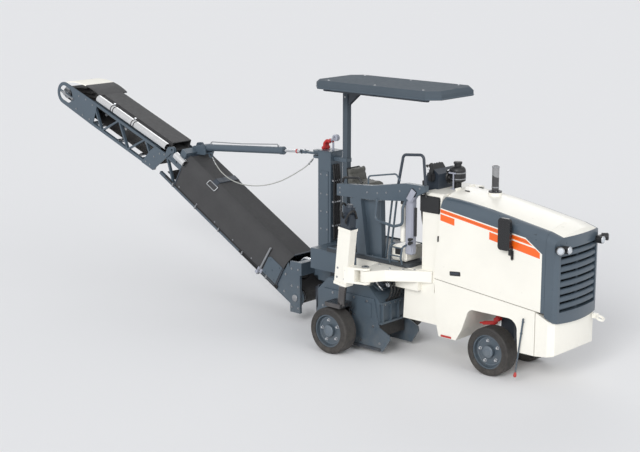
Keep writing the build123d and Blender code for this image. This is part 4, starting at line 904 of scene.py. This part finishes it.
def mast_fittings():
    """Covers, bolts, hose bundle with its clips, and the shackle on the mast."""
    mast_top = local_box("mast")[1].z
    piece("mast_covers", "chassis", slate,
          [block((MAST_X, hand * 0.103, 1.3), (0.125, 0.007, 0.92)) for hand in HANDS],
          block((MAST_X, 0, mast_top + 0.005), (0.2, 0.215, 0.012)),
          block((MAST_X + 0.115, 0, 1.905), (0.1, 0.09, 0.035), 0.004))
    piece("mast_bolts", "chassis", steel,
          [bolts([(MAST_X + dx, hand * 0.1065, z) for dx in (-0.045, 0.045) for z in (0.88, 1.1, 1.3, 1.5, 1.72)],
                 Y * hand, 0.007, 0.006) for hand in HANDS])
    piece("mast_hoses", "chassis", hose_rubber,
          [pipe([(-2.372, y, 1.84), (-2.352, y, 1.7), (-2.36, y, 1.3), (-2.352, y, 0.99)], 0.0115, 0.1)
           for y in (-0.072 + 0.03 * n for n in range(4))])
    piece("mast_clips", "chassis", steel,
          [block((-2.362, -0.027, z), (0.03, 0.125, 0.02), 0.004) for z in (1.15, 1.42, 1.66)])
    piece("shackle_red", "chassis", red,
          [pipe([(-2.55, y, 1.985), (-2.545, y, 2.055), (-2.508, y, 2.092), (-2.462, y, 2.078)], 0.018, 0.03, 14)
           for y in (-0.02, 0.032)],
          bar((-2.55, -0.05, 2.005), (-2.55, 0.062, 2.005), 0.018, sides=18, soft=0.003))
    eye = [(0.018, 0), (0.038, 0.006), (0.038, 0.048), (0.018, 0.054), (0.018, 0)]
    piece("shackle_white", "chassis", lilac,
          pipe([(-2.49, 0.007, 2.07), (-2.455, 0.007, 2.1), (-2.425, 0.007, 2.125), (-2.4, 0.007, 2.115)],
               0.015, 0.03, 12),
          lathe((-2.4, -0.02, 2.128), Y, eye, 28),
          bar((-2.44, 0.006, 1.985), (-2.44, 0.006, 2.07), 0.012, sides=14), slot="cream_paint")


def roof_fittings():
    """Frame, gussets, rim and bolts of the canopy, and the clamps on its post."""
    low, high = local_box("roof")
    near = POST_X + 0.03
    piece("roof_frame", "chassis", dark_slate,
          [block((-1.59, y, ROOF_LOW - 0.014), (1.42, 0.04, 0.028), 0.004) for y in (-0.3, 0, 0.3)],
          [block((x, 0, ROOF_LOW - 0.012), (0.045, 0.7, 0.024), 0.004) for x in ROOF_BEAMS],
          [sheet([(near, hand * 0.022, ROOF_LOW - 0.004), (near, hand * 0.022, ROOF_LOW - 0.21),
                  (POST_X + 0.24, hand * 0.022, ROOF_LOW - 0.028)], Y * 0.006, 0.001) for hand in HANDS])
    x0, x1, half, cut = low.x, high.x, high.y, 0.12
    rim = [at(x, y, ROOF_LOW + 0.013) for x, y in (
        (x0 + cut, -half), (x1 - cut, -half), (x1, -half + cut), (x1, half - cut),
        (x1 - cut, half), (x0 + cut, half), (x0, half - cut), (x0, -half + cut))]
    piece("roof_rim", "chassis", slate, [bar(a, b, 0.006, sides=8) for a, b in zip(rim, rim[1:] + rim[:1])])
    piece("roof_bolts", "chassis", steel,
          bolts([(x, y, ROOF_HIGH - 0.0005) for x in ROOF_BEAMS for y in (-0.3, 0.3)], Z, 0.01, 0.005),
          bolts([(POST_X + dx, dy, DECK_Z + 0.014) for dx in (-0.058, 0.058) for dy in (-0.058, 0.058)],
                Z, 0.01, 0.009),
          bolts([(POST_X, -0.034, z) for z in (1.55, 1.62, 2.6)], -Y, 0.008, 0.006))
    piece("post_clamps", "chassis", slate,
          [block((POST_X - 0.055, 0, z), (0.185, 0.085, 0.05), 0.005) for z in (1.585, 1.9)])


# ---------------------------------------------------------------- milling gear and legs
def milling_fittings():
    """Panels, bolts, hydraulic blocks, pipes and hoses on the drum's box, and strips on its side plates."""
    side_y, far_y = (corner.y for corner in local_box("side_plates"))
    piece("housing_panels", "chassis", slate, block((-1.252, -0.355, 0.535), (0.016, 0.36, 0.055), 0.004),
          sheet([(-1.3, -0.55, 0.682), (-1.395, -0.55, 0.728), (-1.395, -0.16, 0.728), (-1.3, -0.16, 0.682)],
                Vector((0.006, 0, 0.012)), 0.002),
          block((-1.7, -0.36, 0.724), (0.42, 0.3, 0.02), 0.006),
          block((-1.4, side_y - 0.004, 0.47), (0.1, 0.01, 0.16), 0.004))
    piece("housing_bolts", "chassis", steel,
          bolts([(-1.243, -0.515 + 0.08 * n, 0.535) for n in range(5)], X, 0.007, 0.006),
          bolts([(x, side_y, z) for x, z in ((-1.33, 0.3), (-1.42, 0.56), (-1.6, 0.57), (-1.9, 0.57), (-2.04, 0.4),
                                             (-2.09, 0.17), (-1.24, 0.13), (-1.5, 0.12), (-1.8, 0.12))],
                -Y, 0.01, 0.008),
          [bar(p, p - Y * 0.01, 0.009, sides=6) for p in polar(at(MILL.x, side_y, MILL.z), 0.088, turns(8), X, Z)])
    piece("side_plate_strips", "chassis", dark_slate,
          [block((-1.655, y, 0.062), (0.86, 0.012, 0.034), 0.004) for y in (side_y - 0.006, far_y + 0.006)])
    piece("hydraulic_blocks", "chassis", dark_slate,
          block((-1.335, -0.47, 0.765), (0.13, 0.11, 0.085), 0.008),
          block((-1.325, -0.3, 0.76), (0.09, 0.12, 0.07), 0.008),
          bar((-1.36, -0.47, 0.8), (-1.36, -0.47, 0.83), 0.022, sides=18, soft=0.003),
          bar((-1.215, -0.5, 0.765), (-1.215, -0.36, 0.765), 0.028, soft=0.004))
    piece("milling_pipes", "chassis", chrome,
          pipe([(-1.345, -0.545, 0.79), (-1.3, -0.58, 0.765), (-1.262, -0.585, 0.735), (-1.255, -0.55, 0.7)],
               0.008, 0.03),
          pipe([(-1.255, -0.41, 0.745), (-1.2, -0.42, 0.73), (-1.175, -0.36, 0.74), (-1.205, -0.3, 0.76)],
               0.008, 0.03),
          [bar((-1.215, y - 0.008, 0.765), (-1.215, y + 0.008, 0.765), 0.032, soft=0.003) for y in (-0.505, -0.355)])
    piece("milling_hoses", "chassis", hose_rubber,
          [pipe([(-1.27, y, 0.775), (-1.215, y - 0.004, 0.8), (-1.175, y, 0.78), (-1.162, y + 0.01, 0.7),
                 (-1.2, y + 0.016, 0.615), (-1.246, y + 0.02, 0.575)], 0.0115, 0.05)
           for y in (-0.52 + 0.052 * n for n in range(4))])
    low, high = local_box("front_apron")
    piece("apron_bar", "chassis", steel,
          block((low.x - 0.004, (low.y + high.y) / 2, high.z - 0.06), (0.006, high.y - low.y - 0.02, 0.04), 0.001))
    rear = local_box("scraper")[0].x
    piece("scraper_bolts", "chassis", steel,
          bolts([(rear + 0.02, -0.52 + 0.11 * n, 0.565) for n in range(4)], -X, 0.009, 0.007))


LEAN = radians(6)                  # lean of the right column
COLUMN_FOOT = at(-1.604, -0.8415, WHEEL_R)


def by_column(u, y=0.0, x=0.0):
    """A place on the right column: u up along it from the axle's height, x square to it and ahead."""
    return COLUMN_FOOT + Vector((sin(LEAN), 0, cos(LEAN))) * u + Y * y + Vector((cos(LEAN), 0, -sin(LEAN))) * x


def leg_fittings():
    """Collars, bolts and hoses of the swing arm and the rear legs."""
    up = by_column(1) - by_column(0)
    piece("column_collars", "swing_arm", white,
          [block(by_column(u, hand * 0.056), (0.172, 0.01, 0.03), 0.003, pitch(LEAN))
           for u in (0.535, 1.125) for hand in HANDS])
    piece("column_seal", "swing_arm", steel,
          lathe(by_column(0.505), up, band(0.0435, 0.051, 0.018, 0.002) + [(0.0435, 0)]),
          bolts([by_column(u, -0.0525, x) for u in (0.6, 0.7) for x in (-0.05, 0.05)], -Y, 0.008, 0.006))
    piece("column_head", "swing_arm", dark_slate, bar(by_column(1.36), by_column(1.392), 0.04, 0.032, 20, 0.004),
          block(by_column(1.22, -0.052), (0.075, 0.016, 0.1), 0.006, pitch(LEAN)))
    piece("column_hoses", "swing_arm", hose_rubber,
          [pipe([by_column(*row) for row in rows], 0.011, 0.05) for rows in (
              ((1.25, -0.058, -0.02), (1.27, -0.085, -0.02), (1.36, -0.08, -0.06), (1.4, -0.02, -0.075),
               (1.33, 0.045, -0.065), (1.2, 0.058, -0.03)),
              ((1.2, -0.058, 0.02), (1.23, -0.09, 0.03), (1.33, -0.085, 0.07), (1.355, -0.02, 0.085),
               (1.25, 0.045, 0.07)))])
    pin_top = at(SWING.x, SWING.y, SWING.z + 0.094)
    piece("swing_pin_caps", "swing_arm", steel,
          lathe(pin_top, Z, [(0, 0), (0.04, 0), (0.04, 0.006), (0.034, 0.009), (0, 0.009)], 28),
          bolts(polar(pin_top + Z * 0.009, 0.026, turns(3, 0.5)), Z, 0.005, 0.005))
    piece("outrigger_bolts", "chassis", steel,
          bolts([(x, y, 0.9525) for x, y in ((-1.15, -0.56), (-1.02, -0.5), (-0.92, -0.44), (-1.34, -0.5))],
                Z, 0.009, 0.008))
    for name, side, axis in (("right", 1, Y), ("left", 0, -Y)):
        middle = at(-1.684, local_box(f"{name}_leg")[side].y, WHEEL_R)
        piece(f"{name}_leg_bolts", f"{name}_leg", steel,
              bolts(polar(middle, 0.04, (0.3, 1.9, 3.4, 5.0), X, Z), axis, 0.007, 0.007))


# ---------------------------------------------------------------- conveyor
LOW_TURN = pitch(LOW_SLOPE)
LOW_WAY, UP_WAY = on_low(1, 0) - on_low(0, 0), on_up(1, 0) - on_up(0, 0)
CLEAT_PITCH = 0.145
TUBE_Y = -0.262                    # middle of the tube beside the lower cover
STRAP_Y = -0.233                   # the same tube on the upper conveyor
BAND_U = 1.76                      # place of the handle band
STRAPS = (0.95, 1.36)


def roller_set(on, places, return_v):
    """Rollers of the carrying belt, and rollers with shafts of the returning one."""
    return [[bar(on(u, v, -half), on(u, v, half), radius, sides=sides)
             for v, half, radius, sides in ((0.045, 0.15, 0.022, 16), (return_v, 0.185, 0.019, 16),
                                            (return_v, 0.225, 0.008, 10))] for u in places]


def cleat_set(on, first, count, lead):
    """Cleats in a vee on the carrying belt, whose ends lie ahead of the middle by lead."""
    return [sheet([on(u, 0.08), on(u + 0.01, 0.08), on(u + 0.01 + lead, 0.08, hand * 0.15),
                   on(u + lead, 0.08, hand * 0.15)], on(0, 0.018) - on(0, 0))
            for u in (first + CLEAT_PITCH * n for n in range(count)) for hand in HANDS]


def boom_fittings():
    """Lever, foot plates, handle band, ribs, bolts, rollers, hoses and cleats of the lower conveyor."""
    body = "lower_conveyor"
    foot = on_low(0.62, -0.13, -0.266)
    piece("boom_lever", body, steel, bar(foot, on_low(0.598, 0.258, -0.266), 0.014, sides=16, soft=0.003),
          lathe(foot, -Y, [(0, -0.01), (0.018, -0.01), (0.018, 0.016), (0.01, 0.02), (0, 0.02)], 20))
    piece("boom_lever_seat", body, lilac,
          block(on_low(0.615, -0.085, -0.256), (0.075, 0.03, 0.055), 0.005, LOW_TURN),
          lathe(on_low(0.625, -0.105, -0.272), -Y, [(0, 0), (0.014, 0), (0.022, 0.012), (0.02, 0.034), (0, 0.04)], 20))
    plate = ((0.348, -0.115), (0.585, -0.115), (0.585, 0.13), (0.555, 0.16), (0.348, 0.16))
    heads = ((0.385, 0.125), (0.54, 0.125), (0.385, -0.055), (0.54, -0.055), (0.462, 0.03))
    piece("foot_plates", body, slate,
          [(sheet([on_low(u, v, hand * COVER_HALF) for u, v in plate], Y * hand * 0.005),
            bolts([on_low(u, v, hand * 0.255) for u, v in heads], Y * hand, 0.009, 0.006)) for hand in HANDS])
    piece("handle_band", body, dark_slate, block(on_low(BAND_U, 0.341), (0.085, 0.315, 0.012), 0.003, LOW_TURN),
          [block(on_low(BAND_U, 0.318, hand * 0.18), (0.085, 0.07, 0.01), 0.003,
                 LOW_TURN @ Matrix.Rotation(hand * -0.72, 4, "X")) for hand in HANDS])
    rear, ahead = BAND_U - 0.075, BAND_U + 0.075
    piece("band_handle", body, steel,
          pipe([on_low(rear, 0.306, -0.205), on_low(rear, 0.262, TUBE_Y + 0.018), on_low(ahead, 0.262, TUBE_Y + 0.018),
                on_low(ahead, 0.306, -0.205), on_low(rear, 0.306, -0.205)], 0.0075, 0.012))
    piece("tube_stub", body, tube_metal,
          lathe(on_low(2.235, 0.262, TUBE_Y), LOW_WAY,
                [(0.036, 0), (0.044, 0.003), (0.044, 0.185), (0.039, 0.187), (0.039, 0.02)], 36))
    piece("cover_ribs", body, dark_slate,
          [(block(on_low(u, 0.338), (0.02, 0.31, 0.012), 0.002, LOW_TURN),
            [block(on_low(u, 0.04, hand * 0.252), (0.02, 0.008, 0.24), 0.002, LOW_TURN) for hand in HANDS])
           for u in (0.332, 2.276)])
    heads = ((0.12, 0.16), (0.12, 0.05), (0.28, 0.12), (0.42, 0.1), (0.2, -0.07), (0.4, -0.09), (0.56, -0.09))
    piece("boom_bolts", body, steel,
          [(bolts([on_low(u, v, hand * BOOM_HALF) for u, v in heads], Y * hand, 0.01, 0.008),
            bolts([on_low(u, -0.06, hand * 0.2495) for u in (0.8, 1.15, 1.5, 1.85, 2.2)], Y * hand, 0.007, 0.005))
           for hand in HANDS])
    piece("lower_rollers", body, steel, roller_set(on_low, (0.45, 0.9, 1.35, 1.8, 2.25), -0.105))
    piece("boom_hose", body, hose_rubber,
          [pipe([on_low(u, v, -0.25) for u in (0.3, 1.0, 1.7, 2.46)], 0.0095, 0.02, 8) for v in (-0.112, -0.088)])
    piece("boom_clips", body, steel,
          [block(on_low(u, -0.1, -0.25), (0.022, 0.026, 0.058), 0.004, LOW_TURN) for u in (0.5, 0.95, 1.4, 1.85, 2.3)])
    piece("belt_cleats", body, belt_rubber, cleat_set(on_low, 0.16, 16, 0.065))


def slew_fittings():
    """Pin heads, bolts and pipe work on the slew bracket."""
    head = [(0, 0), (0.04, 0), (0.04, 0.008), (0.032, 0.012), (0, 0.012)]
    side = BOOM_HALF + 0.044
    piece("slew_bolts", "slew_bracket", steel,
          [(lathe((LIFT.x, hand * side, LIFT.z), Y * hand, head, 28),
            bolts([(LIFT.x + dx, hand * side, z) for dx in (-0.05, 0.05) for z in (0.17, 0.42, 0.62)],
                  Y * hand, 0.009, 0.008)) for hand in HANDS])
    piece("slew_pipes", "slew_bracket", chrome,
          [pipe([(-2.705, -0.2 - dy, 0.725), (-2.66, -0.205 - dy, 0.76), (-2.6, -0.19 - dy, 0.752),
                 (-2.58, -0.17 - dy, 0.735)], 0.0085, 0.03) for dy in (0.0, 0.03)])


def upper_fittings():
    """Take-up screws, bolts, tube straps, rollers and cleats of the upper conveyor."""
    body = "upper_conveyor"
    disc = [(0, 0), (0.03, 0), (0.03, 0.006), (0.014, 0.009), (0, 0.009)]
    fore = ((0.28, 0.09), (0.28, -0.09), (0.42, 0.11), (0.42, -0.11), (0.56, 0.1), (0.56, -0.1))
    rear = ((1.72, -0.11), (1.8, -0.11), (1.84, 0.02), (1.92, 0.1), (2.0, 0.13))
    solids = []
    for hand in HANDS:
        y, out = hand * (BOOM_HALF + 0.004), Y * hand
        solids += [bar(on_up(-0.06, 0, y), on_up(0.2, 0, y), 0.009, sides=12),
                   lathe(on_up(0, 0, hand * BOOM_HALF), out, disc, 24),
                   bar(on_up(0.165, 0, y), on_up(0.185, 0, y), 0.017, sides=6),
                   bolts([on_up(u, v, hand * BOOM_HALF) for u, v in fore], out, 0.008, 0.007),
                   bolts([on_up(u, v, hand * (BOOM_HALF + 0.012)) for u, v in rear], out, 0.008, 0.007)]
    piece("take_up_screws", body, steel, solids)
    piece("tube_straps", body, black,
          [lathe(on_up(u + du, 0.232, STRAP_Y), UP_WAY, band(0.043, 0.0475, 0.012, 0.001), 28)
           for u in STRAPS for du in (-0.022, 0.022)])
    piece("strap_fittings", body, chrome,
          [(bar(on_up(u, 0.27, STRAP_Y), on_up(u, 0.3, STRAP_Y), 0.009, sides=6),
            lathe(on_up(u, 0.298, STRAP_Y), on_up(0, 1) - on_up(0, 0), [(0, 0), (0.014, 0), (0.014, 0.01), (0, 0.012)],
                  16)) for u in STRAPS])
    piece("upper_rollers", body, steel, roller_set(on_up, (0.35, 0.75, 1.15, 1.55), -0.11))
    piece("upper_cleats", body, belt_rubber, cleat_set(on_up, 0.12, 12, -0.065))


def cylinder_fittings():
    """Gland, ports, pipe and rod-eye ring of the lift cylinder."""
    reach = Vector((-2.890, 0, 1.922)) - BARREL
    along = reach.normalized()
    square = Vector((-along.z, 0, along.x))

    def on_rod(s, v=0.0):
        """A place on the cylinder: s along it from the barrel's pivot, v square to it."""
        return at(*(BARREL + along * s + square * v))

    piece("cylinder_gland", "lift_barrel", slate,
          lathe(on_rod(1.235), along, [(0.042, 0), (0.047, 0.002), (0.047, 0.05), (0.041, 0.056), (0.018, 0.056),
                                       (0.018, 0.03)]),
          lathe(on_rod(0.03), along, band(0.042, 0.046, 0.043, 0.003)))
    piece("cylinder_ports", "lift_barrel", steel,
          [bar(on_rod(s, 0.04), on_rod(s, 0.062), 0.012, sides=6) for s in (0.085, 1.2)],
          pipe([on_rod(s, v) for s, v in ((0.085, 0.058), (0.1, 0.07), (0.6, 0.06), (1.185, 0.07), (1.2, 0.058))],
               0.006, 0.02))
    piece("rod_eye_ring", "lift_rod", red,
          lathe(on_rod(reach.length - 0.098), along, band(0.0172, 0.026, 0.018, 0.002), 24))


# ---------------------------------------------------------------- safety cable
# the same points as the cable's route in part.py, from the datum
CABLE_POINTS = (
    (-4.377, 0.0, 1.682), (-4.300, -0.006, 1.588), (-4.188, -0.016, 1.509), (-4.045, -0.027, 1.454),
    (-3.885, -0.036, 1.427), (-3.715, -0.043, 1.426), (-3.538, -0.046, 1.446), (-3.372, -0.046, 1.484),
    (-3.204, -0.046, 1.543), (-3.058, -0.046, 1.614), (-2.910, -0.046, 1.698), (-2.779, -0.046, 1.777),
    (-2.690, -0.046, 1.868),
)
CABLE_R = 0.006
CORNER_SAVING = 0.996              # the smooth line's share of the length from point to point


def safety_cable():
    """Slack steel cable from the ring on the boom to the lug at the mast's top, with clamps at its ends."""
    places = [at(*place) for place in CABLE_POINTS]
    curve = bpy.data.curves.new("cable", "CURVE")
    curve.dimensions = "3D"
    spline = curve.splines.new("NURBS")
    spline.points.add(len(places) - 1)
    for point, place in zip(spline.points, places):
        point.co = tuple(place) + (1.0,)
    spline.order_u = 3
    spline.use_endpoint_u = True
    spline.resolution_u = 12
    curve.bevel_depth = CABLE_R
    curve.bevel_resolution = 3
    curve.materials.append(cable_steel.material)
    cable = thing("cable", curve)
    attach(cable, "lower_conveyor")
    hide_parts("safety_cable")
    solids = []
    for start, toward in (places[:2], places[:-3:-1]):
        way = (toward - start).normalized()
        solids += [bar(start + way * s, start + way * (s + 0.018), 0.0105, sides=16, soft=0.002)
                   for s in (0.045, 0.085)]
        solids.append(bar(start + way * 0.012, start + way * 0.034, 0.008, 0.011, 16))
    clamps = piece("cable_clamps", "lower_conveyor", steel, solids)
    length = CORNER_SAVING * sum((b - a).length for a, b in zip(places, places[1:]))
    tuple(places[0])


# ---------------------------------------------------------------- floor, light and camera
BACKGROUND = 0.80
FLOOR = 0.87
WORLD = 0.50
FLOOR_HALF = 400
CAMERA_PLACE = (8.0873, -11.9049, 4.6341)
CAMERA_AHEAD = Vector((-0.6534, 0.7256, -0.2158))
LENS = 81.43


def studio():
    """Pale floor that runs into an evenly pale world, and soft light."""
    floor_mesh = bpy.data.meshes.new("floor")
    corners = [(x * FLOOR_HALF, y * FLOOR_HALF, 0) for x, y in ((-1, -1), (1, -1), (1, 1), (-1, 1))]
    floor_mesh.from_pydata(corners, [], [(0, 1, 2, 3)])
    floor = thing("floor", floor_mesh)
    pale = bpy.data.materials.new("floor_grey")
    pale.use_nodes = True
    for key, value in (("Base Color", (FLOOR, FLOOR, FLOOR * 1.01, 1.0)), ("Roughness", 0.9),
                       ("Specular IOR Level", 0.0)):
        pale.node_tree.nodes["Principled BSDF"].inputs[key].default_value = value
    floor_mesh.materials.append(pale)
    world = bpy.data.worlds.new("studio")
    bpy.context.scene.world = world
    world.use_nodes = True
    tree = world.node_tree
    tree.nodes.clear()

    def glow(colour, strength):
        """A plain background shader."""
        node = tree.nodes.new("ShaderNodeBackground")
        node.inputs["Color"].default_value = colour
        node.inputs["Strength"].default_value = strength
        return node

    # the camera and gloss see the background colour, and the rest of the light comes from the second shader
    path = tree.nodes.new("ShaderNodeLightPath")
    either = tree.nodes.new("ShaderNodeMath")
    either.operation = "MAXIMUM"
    mixer = tree.nodes.new("ShaderNodeMixShader")
    out = tree.nodes.new("ShaderNodeOutputWorld")
    for source, target in (
            (path.outputs["Is Camera Ray"], either.inputs[0]), (path.outputs["Is Glossy Ray"], either.inputs[1]),
            (either.outputs[0], mixer.inputs[0]), (glow((0.95, 0.97, 1.0, 1.0), WORLD).outputs[0], mixer.inputs[1]),
            (glow((BACKGROUND, BACKGROUND, BACKGROUND * 1.01, 1.0), 1.0).outputs[0], mixer.inputs[2]),
            (mixer.outputs[0], out.inputs["Surface"])):
        tree.links.new(source, target)
    for name, way, spread, power in (
            ("key", (0.26, -0.85, 0.45), 28.0, 1.75),
            ("fill", (0.88, -0.10, 0.38), 50.0, 0.75),
            ("rim", (-0.55, 0.65, 0.50), 40.0, 0.45)):
        lamp = bpy.data.lights.new(name, "SUN")
        lamp.angle = radians(spread)
        lamp.energy = power
        holder = thing(name, lamp)
        holder.location = Vector(way) * 8
        holder.rotation_euler = (-Vector(way)).to_track_quat("-Z", "Y").to_euler()


def camera():
    """Camera at the photograph's viewing angle."""
    lens = bpy.data.cameras.new("camera")
    lens.lens = LENS
    lens.sensor_width = 36.0
    holder = thing("camera", lens)
    holder.location = at(*CAMERA_PLACE)
    holder.rotation_euler = CAMERA_AHEAD.to_track_quat("-Z", "Y").to_euler()
    bpy.context.scene.camera = holder


for make in (hood_fittings, lamp_fittings, stack_fittings, cleaner_fittings, body_fittings, console_fittings,
             stand_fittings, deck_fittings, seat, mast_fittings, roof_fittings, milling_fittings, leg_fittings,
             boom_fittings, slew_fittings, upper_fittings, cylinder_fittings, safety_cable, camera, studio):
    make()
bpy.context.scene.view_settings.view_transform = "Standard"
